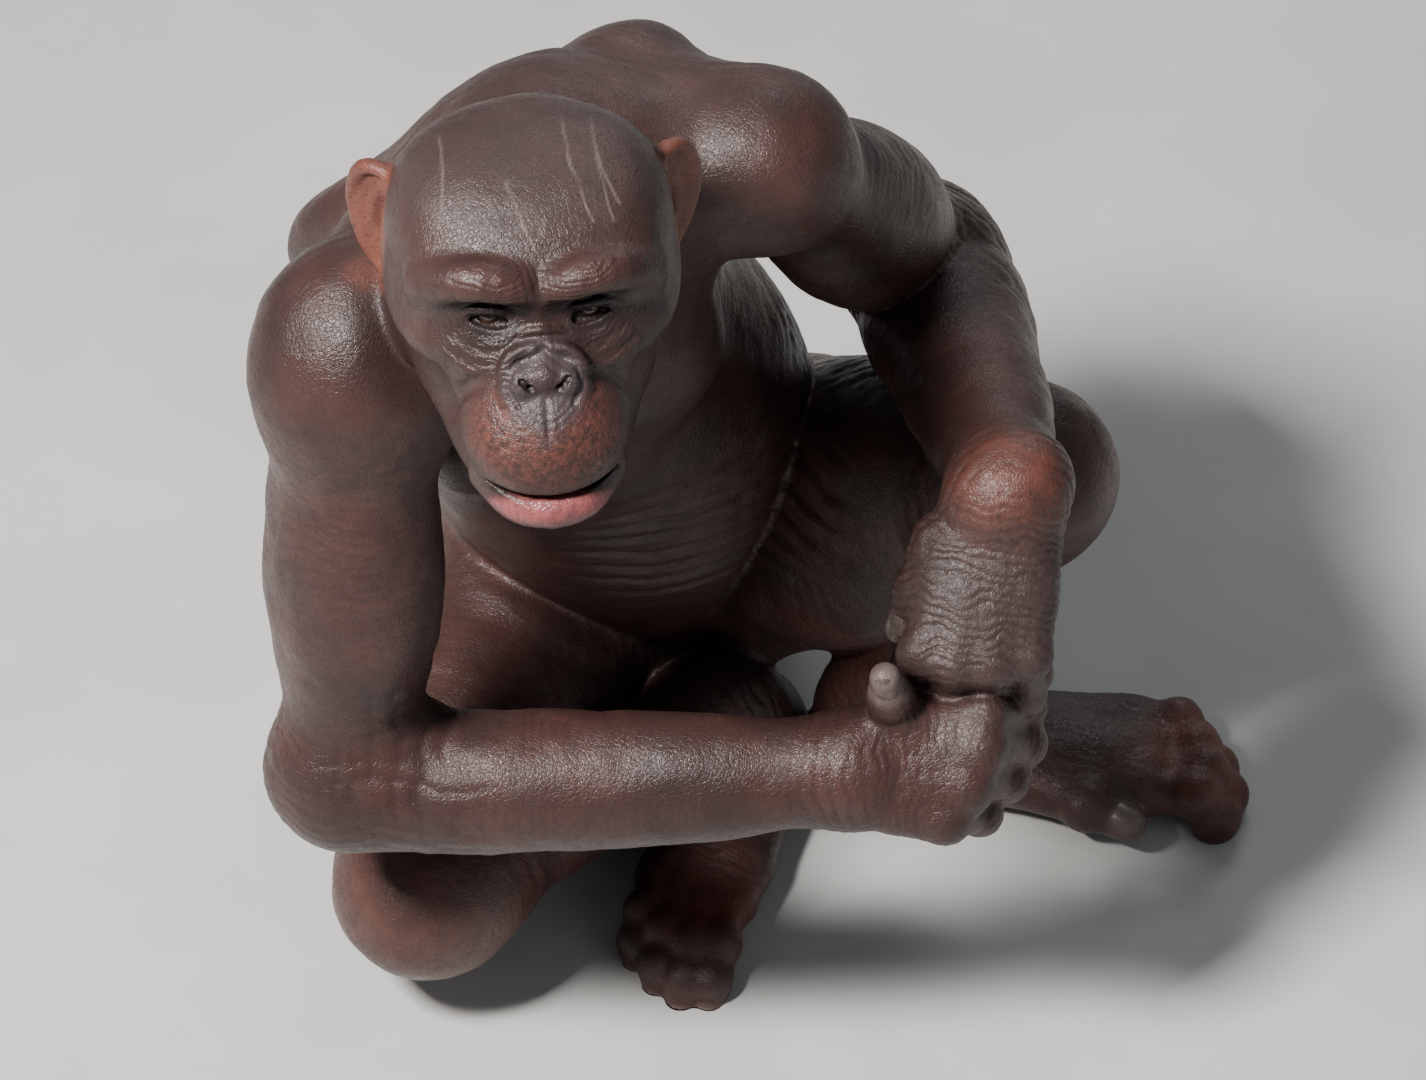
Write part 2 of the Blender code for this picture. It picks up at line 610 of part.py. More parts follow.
def whole(gap=0.0, leave=(), stops={}):
    """All the flesh, as chains of parts. A chain: name, smoothness where it grows from the body, and there
    a point with the reach of full and of no smoothness; elsewhere it only rests against the chains before it,
    gap metres apart. A part of a chain: name, shapes, smoothness, and where it is joined, if not all along.
    stops ends a part a little beyond a plane."""
    chains = [
        ("body", 0, None, [
            ("trunk", trunk_flesh(), 0.0, None),
            ("pelvis", pelvis_flesh(), 0.06, None),
            ("belly", belly_flesh(), 0.055, None),
            ("girdle", girdle_flesh(), 0.05, None),
            ("neck", neck_flesh(), 0.04, None),
            ("head", head_flesh(), 0.025, (HEAD + vec(0, 0.02, -0.03), 0.075, 0.105)),
            ("ear_r", ear_flesh(-1), 0.006, None),
            ("ear_l", ear_flesh(1), 0.006, None),
        ]),
        ("arm_l", 0.03, (SHOULDER_L, 0.07, 0.12), arm_parts("l")),
        ("arm_r", 0.04, (SHOULDER_R, 0.08, 0.13), arm_parts("r")),
        ("leg_r", 0.035, (HIP_R, 0.12, 0.17), leg_parts("r")),
        ("leg_l", 0.035, (HIP_L, 0.12, 0.17), leg_parts("l")),
    ]
    chains = [(a, b, c, [p for p in d if p[0] not in leave]) for a, b, c, d in chains if a not in leave]
    return Body(chains, gap, stops)


class Body:
    def __init__(self, chains, gap, stops):
        self.chains, self.gap, self.stops = chains, gap, stops

    def __call__(self, x, y, z, part=None):
        lo = np.array([x.min(), y.min(), z.min()])
        hi = np.array([x.max(), y.max(), z.max()])
        far = np.full(x.shape, CAP, x.dtype)

        def reach(root):
            c, r0, r1 = root
            r = np.sqrt((x - c[0]) ** 2 + (y - c[1]) ** 2 + (z - c[2]) ** 2)
            return 1 - smooth01((r - r0) / (r1 - r0))

        f, apart = None, CAP
        for chain, k, root, parts in self.chains:
            c, kept, first = None, None, None
            for name, g, kp, joint in parts:
                v = g.at(x, y, z, lo, hi)
                if v is None:
                    if name == part:
                        return far
                    continue
                if name in self.stops:
                    p, n = self.stops[name][:2]
                    n = unit(n)
                    v = np.maximum(v, (x - p[0]) * n[0] + (y - p[1]) * n[1] + (z - p[2]) * n[2] - 0.008)
                    for r in self.stops[name][2:]:
                        v = np.maximum(v, np.sqrt((x - p[0]) ** 2 + (y - p[1]) ** 2 + (z - p[2]) ** 2) - r)
                if name in ("belly", "head"):
                    apart = np.minimum(apart, v)
                w = None
                if name == parts[0][0]:
                    first = v
                elif f is not None:
                    v = np.maximum(v, self.gap - f)
                    if first is not None and name == parts[-1][0]:
                        v = np.maximum(v, self.gap - first)
                if c is None:
                    c = v
                elif joint is None:
                    c = smin(c, v, kp)
                else:
                    w = reach(joint)
                    v = np.maximum(v, self.gap - w * 0.2 - c)
                    c = smin(c, v, 0.001 + kp * w)
                if name == part:
                    kept = (v, w)
            if c is None:
                if chain == part:
                    return far
                continue
            w = None
            if f is None:
                f = c
            else:
                w = reach(root) * (0 if first is None else 1 - smooth01(first / 0.03)) * smooth01(apart / 0.03)
                c = np.maximum(c, self.gap - w * 0.2 - f)
                f = smin(f, c, 0.001 + k * w)
            if chain == part:
                return f if w is None else np.maximum(f, c - 0.02 * w - 0.0003)
            if kept is not None:
                v, w = kept
                return c if w is None else np.maximum(c, v - 0.03 * w - 0.0003)
        return far if f is None else f


def near(field, pts, cell=0.03):
    """The field at scattered points, worked out cell by cell."""
    key = np.floor(pts / cell).astype(np.int64)
    key -= key.min(0)
    n = key.max(0) + 1
    flat = (key[:, 0] * n[1] + key[:, 1]) * n[2] + key[:, 2]
    order = np.argsort(flat, kind="stable")
    cuts = np.nonzero(np.diff(flat[order]))[0] + 1
    out = np.empty(len(pts))
    for part in np.split(order, cuts):
        p = pts[part]
        out[part] = field(p[:, 0], p[:, 1], p[:, 2])
    return out


def slope(field, pts, h=0.0004):
    """Outward direction of the surface at the points, and the field there."""
    e = np.array([[1, -1, -1], [-1, -1, 1], [-1, 1, -1], [1, 1, 1]], float)
    q = (pts[:, None, :] + h * e[None]).reshape(-1, 3)
    v = near(field, q).reshape(-1, 4)
    return (v[:, :, None] * e[None]).sum(1) / (4 * h), v.mean(1)


def settle(field, pts, steps=2, limit=0.002):
    """Moves the points onto the surface."""
    for _ in range(steps):
        g, f = slope(field, pts)
        d = f / np.maximum((g * g).sum(1), 0.25)
        pts = pts - np.clip(d, -limit, limit)[:, None] * g
    return pts

# ---------------------------------------------------------------- solids
for ob in list(bpy.data.objects):
    bpy.data.objects.remove(ob, do_unlink=True)

GAP = 0.0003  # between neighbours that touch


def object_from(name, verts, faces):
    me = bpy.data.meshes.new(name)
    me.from_pydata([tuple(v) for v in verts.tolist()], [], faces.tolist())
    me.update()
    ob = bpy.data.objects.new(name, me)
    bpy.context.scene.collection.objects.link(ob)
    return ob


def settled(ob):
    """Replaces the object by its own finished shape, without modifiers."""
    dg = bpy.context.evaluated_depsgraph_get()
    me = bpy.data.meshes.new_from_object(ob.evaluated_get(dg), depsgraph=dg)
    ob.modifiers.clear()
    ob.data = me
    return ob


def combine(ob, other, how):
    m = ob.modifiers.new("cut", "BOOLEAN")
    m.operation, m.solver, m.object = how, "EXACT", other
    settled(ob)
    bpy.data.objects.remove(other, do_unlink=True)
    return ob


def slab(point, normal, radius, thick, sides=20):
    """A disc: its middle, its axis, its radius and its thickness."""
    z = unit(normal)
    x = unit(np.cross(z, vec(0.3, 0.5, 0.8)))
    y = np.cross(z, x)
    a = np.arange(sides) * 2 * math.pi / sides
    ring = radius * (np.cos(a)[:, None] * x + np.sin(a)[:, None] * y)
    v = np.concatenate([point + ring - z * thick / 2, point + ring + z * thick / 2])
    me = bpy.data.meshes.new("disc")
    f = [list(range(sides))[::-1], list(range(sides, 2 * sides))]
    f += [[i, (i + 1) % sides, sides + (i + 1) % sides, sides + i] for i in range(sides)]
    me.from_pydata([tuple(p) for p in v.tolist()], [], f)
    ob = bpy.data.objects.new("disc", me)
    bpy.context.scene.collection.objects.link(ob)
    return ob


def half(point, normal, reach=0.4):
    """A block that fills the side of the plane away from normal."""
    return slab(np.asarray(point) - unit(normal) * reach / 2, normal, reach, reach, 4)


def floor_cut(ob):
    return combine(ob, half(vec(-0.02, -0.2, 0.0), vec(0, 0, 1), 0.9), "DIFFERENCE")


def pieces(ob):
    """The separate closed shells of a mesh as (volume, corners, faces), the largest first."""
    bm = bmesh.new()
    bm.from_mesh(ob.data)
    bm.faces.ensure_lookup_table()
    seen, out = set(), []
    for f in bm.faces:
        if f.index in seen:
            continue
        stack, group = [f], []
        seen.add(f.index)
        while stack:
            g = stack.pop()
            group.append(g)
            for e in g.edges:
                for w in e.link_faces:
                    if w.index not in seen:
                        seen.add(w.index)
                        stack.append(w)
        verts = {}
        faces = []
        for g in group:
            faces.append([verts.setdefault(v.index, len(verts)) for v in g.verts])
        co = np.array([bm.verts[i].co[:] for i in verts]) if bm.verts.ensure_lookup_table() is None else None
        vol = 0.0
        for g in faces:
            for i in range(1, len(g) - 1):
                vol += np.dot(co[g[0]], np.cross(co[g[i]], co[g[i + 1]])) / 6
        out.append((vol, co, faces))
    bm.free()
    bpy.data.objects.remove(ob, do_unlink=True)
    return sorted(out, key=lambda p: -p[0])


def bone(a, b):
    return unit(np.asarray(b) - np.asarray(a))


# where the body is divided: point, and the way towards the hand, foot or head
NECK_TOP = (HEAD + vec(0, 0.045, -0.030) @ HEAD_AXES, vec(0, -0.707, 0.707) @ HEAD_AXES)
NECK_BASE = (NECK + vec(0, 0.016, 0.010), vec(-0.05, -0.42, 0.90))
WAIST = (mix(PELVIS, CHEST, 0.60), CHEST - PELVIS + vec(0, -0.03, 0))
SHOULDER_CUT = {"r": (SHOULDER_R + vec(0.016, 0.020, -0.012), vec(-0.60, -0.62, -0.50)),
                "l": (SHOULDER_L + bone(SHOULDER_L, ELBOW_L) * 0.040, bone(SHOULDER_L, ELBOW_L) + vec(0.35, 0, 0.1))}
ELBOW_CUT = {"r": (ELBOW_R, bone(SHOULDER_R, ELBOW_R) + bone(ELBOW_R, WRIST_R)),
             "l": (ELBOW_L, bone(SHOULDER_L, ELBOW_L) + bone(ELBOW_L, WRIST_L))}
WRIST_CUT = {"r": (WRIST_R, bone(ELBOW_R, WRIST_R)),
             "l": (WRIST_L, bone(ELBOW_L, WRIST_L) + vec(0, -0.1, -0.35))}
HIP_CUT = {"r": (HIP_R + bone(HIP_R, KNEE_R) * 0.060, bone(HIP_R, KNEE_R)),
           "l": (HIP_L + bone(HIP_L, KNEE_L) * 0.070, bone(HIP_L, KNEE_L))}
KNEE_CUT = {"r": (KNEE_R, bone(HIP_R, KNEE_R) + bone(KNEE_R, ANKLE_R)),
            "l": (KNEE_L, bone(HIP_L, KNEE_L) + bone(KNEE_L, ANKLE_L))}
ANKLE_CUT = {"r": (ANKLE_R + bone(ANKLE_R, KNEE_R) * 0.012, bone(KNEE_R, ANKLE_R) + vec(0, 0, -0.9)),
             "l": (ANKLE_L + bone(ANKLE_L, KNEE_L) * 0.016, bone(KNEE_L, ANKLE_L) + vec(0.45, 0, -0.5))}


def closed(grid):
    for ax in range(3):
        for i in (0, -1):
            s = [slice(None)] * 3
            s[ax] = i
            grid[tuple(s)] = CAP
    return grid


def beside(planes, f, spare=0.008):
    """The field f kept on the sides that the planes' normals point to, with some to spare."""

    def g(x, y, z):
        v = f(x, y, z)
        for p, n in planes:
            n = unit(n)
            v = np.maximum(v, -((x - p[0]) * n[0] + (y - p[1]) * n[1] + (z - p[2]) * n[2]) - spare)
        return v

    return g


def made(name, f, lo, hi, h, count):
    """The largest closed mesh of the field f in the box, with about count triangles."""
    grid = closed(well_made(sample(f, lo, hi, h)))
    v, q = surface(grid, lo, h)
    v = settle(f, v, 2, h * 0.5)
    ob = object_from(name + "_raw", v, q)
    ob.modifiers.new("tri", "TRIANGULATE")
    m = ob.modifiers.new("thin", "DECIMATE")
    m.ratio = min(1.0, count / (2 * len(q)))
    settled(ob)
    vol, co, faces = pieces(ob)[0]
    return object_from(name + "_raw", co, np.array(faces))


def clone(ob):
    twin = bpy.data.objects.new(ob.name + "_twin", ob.data.copy())
    bpy.context.scene.collection.objects.link(twin)
    return twin


def trim(ob, plane):
    """Takes off what is behind the plane."""
    p, n = plane
    return combine(ob, half(p + unit(n) * GAP / 2, n), "DIFFERENCE")


def relieve(ob, other):
    """Takes the other object off this one, and a little more, so that they don't overlap."""
    twin = clone(other)
    me = twin.data
    moved = [v.co + v.normal * 2 * GAP for v in me.vertices]
    for v, co in zip(me.vertices, moved):
        v.co = co
    combine(ob, twin, "DIFFERENCE")
    vol, co, faces = pieces(ob)[0]
    return vol, co, faces


def nearest(found, point):
    """The shell whose middle is closest to the point."""
    big = [p for p in found if p[0] > 2e-6]
    return min(big, key=lambda p: np.linalg.norm(p[1].mean(0) - point))


def painted(ob, colour, rough):
    mat = bpy.data.materials.new(ob.name)
    mat.use_nodes = True
    b = mat.node_tree.nodes["Principled BSDF"]
    b.inputs["Base Color"].default_value = (*colour, 1)
    b.inputs["Roughness"].default_value = rough
    b.inputs["Metallic"].default_value = 0.0
    mat.diffuse_color = (*colour, 1)
    ob.data.materials.clear()
    ob.data.materials.append(mat)
    return ob


def node(name, piece, colour, rough=0.45):
    vol, co, faces = piece
    me = bpy.data.meshes.new(name)
    me.from_pydata([tuple(v) for v in co.tolist()], [], faces)
    me.update()
    ob = bpy.data.objects.new(name, me)
    bpy.context.scene.collection.objects.link(ob)
    ob.modifiers.new("tri", "TRIANGULATE")
    settled(ob)
    ob.data.name = name
    return painted(ob, colour, rough)


SKIN = (0.105, 0.060, 0.050)
DARK = (0.085, 0.052, 0.046)
RED = (0.200, 0.085, 0.062)
FACE = (0.120, 0.066, 0.055)
REST = 0.0016  # between parts that lie against each other
FLESH = whole(REST)


def of(part):
    return lambda x, y, z: FLESH(x, y, z, part)


def around(points, r):
    p = np.array(points)
    return p.min(0) - r, p.max(0) + r


# trunk and neck
core = whole(REST, ("ear_r", "ear_l", "hand_r", "hand_l", "forearm_r", "forearm_l", "shin_r", "shin_l", "foot_r", "foot_l"), {
    "head": NECK_TOP, "neck": NECK_TOP, "upper_arm_r": SHOULDER_CUT["r"], "upper_arm_l": SHOULDER_CUT["l"], "thigh_r": HIP_CUT["r"], "thigh_l": HIP_CUT["l"]})
limbs = whole(REST, (), {"hand_r": (*WRIST_CUT["r"], 0.05), "hand_l": (*WRIST_CUT["l"], 0.05), "foot_r": (*ANKLE_CUT["r"], 0.05), "foot_l": (*ANKLE_CUT["l"], 0.05)})
trunk = made("trunk", core, vec(-0.28, -0.46, -0.03), vec(0.14, 0.12, 0.66), 0.005, TRUNK_COUNT)
floor_cut(trunk)
for (p, n), r, deep in ((NECK_TOP, 0.15, 0.10), (SHOULDER_CUT["r"], 0.13, 0.10), (SHOULDER_CUT["l"], 0.09, 0.06), (HIP_CUT["r"], 0.125, 0.05), (HIP_CUT["l"], 0.125, 0.05)):
    combine(trunk, slab(p + unit(n) * (deep / 2 - GAP / 2), n, r, deep, 32), "DIFFERENCE")
p, n = NECK_BASE
neck = clone(trunk)
combine(neck, slab(p + unit(n) * 0.06, n, 0.074, 0.12, 32), "INTERSECT")
combine(trunk, slab(p + unit(n) * 0.06, n, 0.074 + GAP, 0.12 + 2 * GAP, 32), "DIFFERENCE")
p, n = WAIST
combine(trunk, slab(p, n, 0.19, GAP, 32), "DIFFERENCE")
found = pieces(trunk)
node("chest", nearest(found, CHEST + vec(0, 0, 0.05)), SKIN)
node("abdomen", nearest(found, PELVIS), DARK)
node("neck", pieces(neck)[0], SKIN)

# arms
for s, a, b, c in (("r", SHOULDER_R, ELBOW_R, WRIST_R), ("l", SHOULDER_L, ELBOW_L, WRIST_L)):
    lo, hi = around([a, b, c], 0.10)
    arm = made("arm_" + s, beside([SHOULDER_CUT[s]], lambda x, y, z: limbs(x, y, z, "arm_" + s), 0.01), lo, hi, 0.004, ARM_COUNT)
    trim(arm, SHOULDER_CUT[s])
    p, n = WRIST_CUT[s]
    combine(arm, slab(p + unit(n) * (0.05 - GAP / 2), n, 0.08, 0.1), "DIFFERENCE")
    p, n = ELBOW_CUT[s]
    inside = unit(bone(b, a) + bone(b, c))
    combine(arm, slab(p + inside * 0.06, n, 0.16, GAP, 32), "DIFFERENCE")
    found = pieces(arm)
    upper = node("upper_arm_" + s, nearest(found, mix(a, b, 0.45)), SKIN)
    node("forearm_" + s, nearest(found, mix(b, c, 0.6)), SKIN)

# legs
for s, a, b, c in (("r", HIP_R, KNEE_R, ANKLE_R), ("l", HIP_L, KNEE_L, ANKLE_L)):
    lo, hi = around([a, b, c], 0.13)
    leg = made("leg_" + s, beside([HIP_CUT[s]], lambda x, y, z: limbs(x, y, z, "leg_" + s), 0.01), lo, hi, 0.004, LEG_COUNT)
    p, n = HIP_CUT[s]
    combine(leg, slab(p - unit(n) * (0.03 - GAP / 2), n, 0.14, 0.06, 32), "DIFFERENCE")
    p, n = ANKLE_CUT[s]
    combine(leg, slab(p + unit(n) * (0.03 - GAP / 2), n, 0.06, 0.06), "DIFFERENCE")
    p, n = KNEE_CUT[s]
    inside = unit(bone(b, a) + bone(b, c))
    combine(leg, slab(p + inside * 0.07, n, 0.19, GAP, 32), "DIFFERENCE")
    floor_cut(leg)
    found = pieces(leg)
    thigh = node("thigh_" + s, nearest(found, mix(a, b, 0.5)), DARK)
    node("thigh_" + s, relieve(thigh, bpy.data.objects["abdomen"]), DARK)
    node("shin_" + s, nearest(found, mix(b, c, 0.6)), DARK)

# head, eyes and ears
EYE = 0.0105
earless = whole(REST, ("ear_r", "ear_l"))
EYES = {"eye_l": vec(0.0248, -0.0800, 0.0080), "eye_r": vec(-0.0248, -0.0800, 0.0080)}
head = made("head", beside([NECK_TOP], lambda x, y, z: earless(x, y, z, "head"), 0.01), HEAD - 0.18, HEAD + 0.16, 0.003, HEAD_COUNT)
trim(head, NECK_TOP)


def ball(name, c, r, u=16, v=10):
    """A ball with its poles at front and back of the head, or a lens with three half sizes."""
    X, Y, Z = HEAD_AXES
    r = (r, r, r) if isinstance(r, float) else r
    bm = bmesh.new()
    bmesh.ops.create_uvsphere(bm, u_segments=u, v_segments=v, radius=1.0)
    bm.transform(Matrix([[X[i] * r[0], Z[i] * r[2], -Y[i] * r[1], c[i]] for i in range(3)] + [[0, 0, 0, 1]]))
    bmesh.ops.triangulate(bm, faces=bm.faces[:])
    bmesh.ops.recalc_face_normals(bm, faces=bm.faces[:])
    me = bpy.data.meshes.new(name)
    bm.to_mesh(me)
    bm.free()
    ob = bpy.data.objects.new(name, me)
    bpy.context.scene.collection.objects.link(ob)
    return ob


for name, c in EYES.items():
    c = HEAD + c @ HEAD_AXES
    combine(head, ball("socket", c, EYE + GAP, 14, 8), "DIFFERENCE")
    combine(head, ball("slit", c, (0.0098, 0.037, 0.0057), 14, 8), "DIFFERENCE")
    painted(ball(name, c, EYE, 12, 8), (0.045, 0.022, 0.012), 0.12)
head = node("head", pieces(head)[0], FACE)
node("upper_arm_r", relieve(bpy.data.objects["upper_arm_r"], head), SKIN)

LIMBS = ("arm_l", "arm_r", "leg_r", "leg_l")
bare = whole(0.0, LIMBS + ("ear_l", "ear_r"))
for name, s in (("ear_r", -1), ("ear_l", 1)):
    own = whole(0.0, LIMBS + tuple(n for n in ("trunk", "pelvis", "belly", "girdle", "neck", "head", "ear_r", "ear_l") if n != name))
    mid = HEAD + vec(0.07 * s, 0.01, 0.0) @ HEAD_AXES
    ob = made(name, lambda x, y, z: np.maximum(own(x, y, z), GAP - bare(x, y, z)), mid - 0.05, mid + 0.05, 0.0016, EAR_COUNT)
    ear = node(name, pieces(ob)[0], RED, 0.5)
    node(name, relieve(ear, head), RED, 0.5)

# hands
for s, w in (("l", WRIST_L), ("r", WRIST_R)):
    p, n = WRIST_CUT[s]
    mid = w + unit(n) * 0.06
    ob = made("hand_" + s, beside([(p, n)], of("hand_" + s), 0.01), mid - 0.15, mid + 0.15, 0.0025, HAND_COUNT)
    trim(ob, (p, n))
    hand = node("hand_" + s, pieces(ob)[0], SKIN)
node("hand_r", relieve(hand, bpy.data.objects["hand_l"]), SKIN)

# feet, flat where they stand
for s, w in (("r", ANKLE_R), ("l", ANKLE_L)):
    p, n = ANKLE_CUT[s]
    lo, hi = around([w, w + (vec(-0.01, -0.11, -0.04) if s == "r" else vec(0.14, 0, -0.04))], 0.09)
    ob = made("foot_" + s, beside([(p, n)], of("foot_" + s), 0.01), lo, hi, 0.003, FOOT_COUNT)
    trim(ob, (p, n))
    floor_cut(ob)
    foot = node("foot_" + s, pieces(ob)[0], DARK if s == "r" else RED)
    node("foot_" + s, relieve(foot, bpy.data.objects["abdomen"]), DARK if s == "r" else RED)

# the origin lies under the middle of the whole, on the ground
corners = np.array([v.co[:] for ob in bpy.data.objects for v in ob.data.vertices])
low, high = corners.min(0), corners.max(0)
SHIFT = vec(-(low[0] + high[0]) / 2, -(low[1] + high[1]) / 2, -low[2])
for ob in bpy.data.objects:
    ob.data.transform(Matrix.Translation(SHIFT.tolist()))
    ob.data.shade_smooth()
    ob.data.set_sharp_from_angle(angle=math.radians(50))
    ob.data.update()
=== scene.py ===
"""The seated chimpanzee's looks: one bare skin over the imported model's flesh, its eyes and nails, a pale floor, soft light and the camera."""
import bpy
import bmesh
from mathutils import Matrix, Vector
import math
import numpy as np


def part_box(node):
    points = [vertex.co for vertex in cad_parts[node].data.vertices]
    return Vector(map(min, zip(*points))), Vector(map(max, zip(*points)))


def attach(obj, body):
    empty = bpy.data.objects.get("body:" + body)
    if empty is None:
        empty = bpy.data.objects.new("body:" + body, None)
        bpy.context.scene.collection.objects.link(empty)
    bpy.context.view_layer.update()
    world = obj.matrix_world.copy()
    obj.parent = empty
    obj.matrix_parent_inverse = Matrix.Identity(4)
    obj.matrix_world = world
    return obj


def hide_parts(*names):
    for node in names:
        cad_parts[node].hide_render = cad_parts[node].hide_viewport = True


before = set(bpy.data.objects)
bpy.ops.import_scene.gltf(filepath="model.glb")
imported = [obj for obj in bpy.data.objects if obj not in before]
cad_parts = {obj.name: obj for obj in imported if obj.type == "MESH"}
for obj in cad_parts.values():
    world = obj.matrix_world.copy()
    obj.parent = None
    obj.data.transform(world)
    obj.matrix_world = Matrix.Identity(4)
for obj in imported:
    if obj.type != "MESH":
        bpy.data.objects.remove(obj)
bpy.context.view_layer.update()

# ---------------------------------------------------------------- small maths
def vec(*a):
    return np.array(a, float)


def unit(a):
    a = np.asarray(a, float)
    return a / np.linalg.norm(a)


def mix(a, b, t):
    return np.asarray(a, float) * (1 - t) + np.asarray(b, float) * t


def smooth01(t):
    t = np.clip(t, 0, 1)
    return t * t * (3 - 2 * t)


def smin(a, b, k):
    h = np.maximum(k - np.abs(a - b), 0) / k
    return np.minimum(a, b) - h * h * k * 0.25


def smax(a, b, k):
    return -smin(-a, -b, k)


def frame_of(up, side):
    """Right-handed axes as rows: x across, y forward, z along up."""
    z = unit(up)
    x = unit(np.asarray(side, float) - z * np.dot(side, z))
    return np.array([x, np.cross(z, x), z])


def turn(axis, degrees):
    a = unit(axis)
    t = math.radians(degrees)
    k = np.array([[0, -a[2], a[1]], [a[2], 0, -a[0]], [-a[1], a[0], 0]])
    return np.eye(3) + math.sin(t) * k + (1 - math.cos(t)) * (k @ k)


# ---------------------------------------------------------------- rounded shapes
CAP = 0.07  # distances beyond this don't matter


class Shape:
    """A rounded solid: d(x, y, z) is the distance to its surface, lo and hi its box."""

    def __init__(self, d, lo, hi):
        self.d, self.lo, self.hi = d, np.asarray(lo, float), np.asarray(hi, float)


def ell(c, r, axes=None):
    c, r = np.asarray(c, float), np.asarray(r, float)
    R = np.eye(3) if axes is None else np.asarray(axes, float)
    e = np.sqrt(((R * r[:, None]) ** 2).sum(0))

    def d(x, y, z):
        x, y, z = x - c[0], y - c[1], z - c[2]
        if axes is None:
            a, b, q = x, y, z
        else:
            a = R[0, 0] * x + R[0, 1] * y + R[0, 2] * z
            b = R[1, 0] * x + R[1, 1] * y + R[1, 2] * z
            q = R[2, 0] * x + R[2, 1] * y + R[2, 2] * z
        a, b, q = a / r[0], b / r[1], q / r[2]
        k0 = np.sqrt(a * a + b * b + q * q)
        k1 = np.sqrt((a / r[0]) ** 2 + (b / r[1]) ** 2 + (q / r[2]) ** 2)
        return k0 * (k0 - 1) / np.maximum(k1, 1e-6)

    return Shape(d, c - e, c + e)


def cone(a, b, ra, rb, flat=None):
    """A tapered rod with round ends. flat=(direction, share) makes it thinner along direction."""
    a, b = np.asarray(a, float), np.asarray(b, float)
    ab = b - a
    L2 = max(float(ab @ ab), 1e-12)
    if flat is not None:
        n = np.asarray(flat[0], float)
        n = unit(n - ab * (n @ ab) / L2)
        s = float(flat[1])

    def d(x, y, z):
        x, y, z = x - a[0], y - a[1], z - a[2]
        t = np.clip((x * ab[0] + y * ab[1] + z * ab[2]) / L2, 0, 1)
        x, y, z = x - t * ab[0], y - t * ab[1], z - t * ab[2]
        r = ra + (rb - ra) * t
        if flat is None:
            return np.sqrt(x * x + y * y + z * z) - r
        w = x * n[0] + y * n[1] + z * n[2]
        q = x * x + y * y + z * z - w * w
        k0 = np.sqrt(q + (w / s) ** 2)
        k1 = np.sqrt(q + (w / s**2) ** 2)
        return (k0 - r) * k0 / np.maximum(k1, 1e-6)

    m = max(ra, rb)
    return Shape(d, np.minimum(a, b) - m, np.maximum(a, b) + m)


def spline(points, n):
    """n + 1 places and widths along a smooth curve through (x, y, z, width) points."""
    p = np.array([list(q) for q in points], float)
    m = len(p) - 1
    out = []
    for i in range(n + 1):
        s = i / n * m
        j = min(int(s), m - 1)
        t = s - j
        p0, p1, p2, p3 = p[max(j - 1, 0)], p[j], p[j + 1], p[min(j + 2, m)]
        out.append(
            0.5
            * (
                2 * p1
                + (p2 - p0) * t
                + (2 * p0 - 5 * p1 + 4 * p2 - p3) * t * t
                + (3 * p1 - p0 - 3 * p2 + p3) * t**3
            )
        )
    return np.array(out)


def tube(points, n=8, flat=None):
    """A bent rod through (x, y, z, radius) points."""
    q = spline(points, n)
    parts = [cone(q[i, :3], q[i + 1, :3], q[i, 3], q[i + 1, 3], flat) for i in range(n)]

    def d(x, y, z):
        f = parts[0].d(x, y, z)
        for s in parts[1:]:
            f = np.minimum(f, s.d(x, y, z))
        return f

    return Shape(
        d, np.min([s.lo for s in parts], axis=0), np.max([s.hi for s in parts], axis=0)
    )


class Flesh:
    """Shapes joined one after another in a frame of their own. mirror=True repeats each shape across its own x."""

    def __init__(self, origin=(0, 0, 0), axes=None, mirror=False):
        self.o = np.asarray(origin, float)
        self.R = np.eye(3) if axes is None else np.asarray(axes, float)
        self.mirror = mirror
        self.items = []

    def world(self, p):
        return self.o + np.asarray(p, float) @ self.R

    def put(self, shape, k=0.02, cut=False, both=None):
        both = self.mirror if both is None else both
        lo, hi = shape.lo.copy(), shape.hi.copy()
        if both:
            m = max(abs(lo[0]), abs(hi[0]))
            lo[0], hi[0] = -m, m
        corners = np.array(
            [[(lo, hi)[i][0], (lo, hi)[j][1], (lo, hi)[q][2]] for i in (0, 1) for j in (0, 1) for q in (0, 1)]
        )
        w = self.world(corners)
        self.items.append((shape.d, w.min(0), w.max(0), k, cut, both))
        return self

    def add(self, shape, k=0.02, both=None):
        return self.put(shape, k, False, both)

    def cut(self, shape, k=0.01, both=None):
        return self.put(shape, k, True, both)

    def at(self, x, y, z, lo, hi):
        """Distance at the points, which all lie between lo and hi."""
        f = None
        local = None
        for d, a, b, k, cut, both in self.items:
            m = CAP if not cut else k + 0.02
            if (a - m > hi).any() or (b + m < lo).any():
                continue
            if local is None:
                X, Y, Z = x - self.o[0], y - self.o[1], z - self.o[2]
                R = self.R
                local = (
                    R[0, 0] * X + R[0, 1] * Y + R[0, 2] * Z,
                    R[1, 0] * X + R[1, 1] * Y + R[1, 2] * Z,
                    R[2, 0] * X + R[2, 1] * Y + R[2, 2] * Z,
                )
                away = np.abs(local[0])
                f = np.full(x.shape, CAP, x.dtype)
            g = d(away if both else local[0], local[1], local[2])
            f = smax(f, -g, k) if cut else smin(f, g, k)
        return f



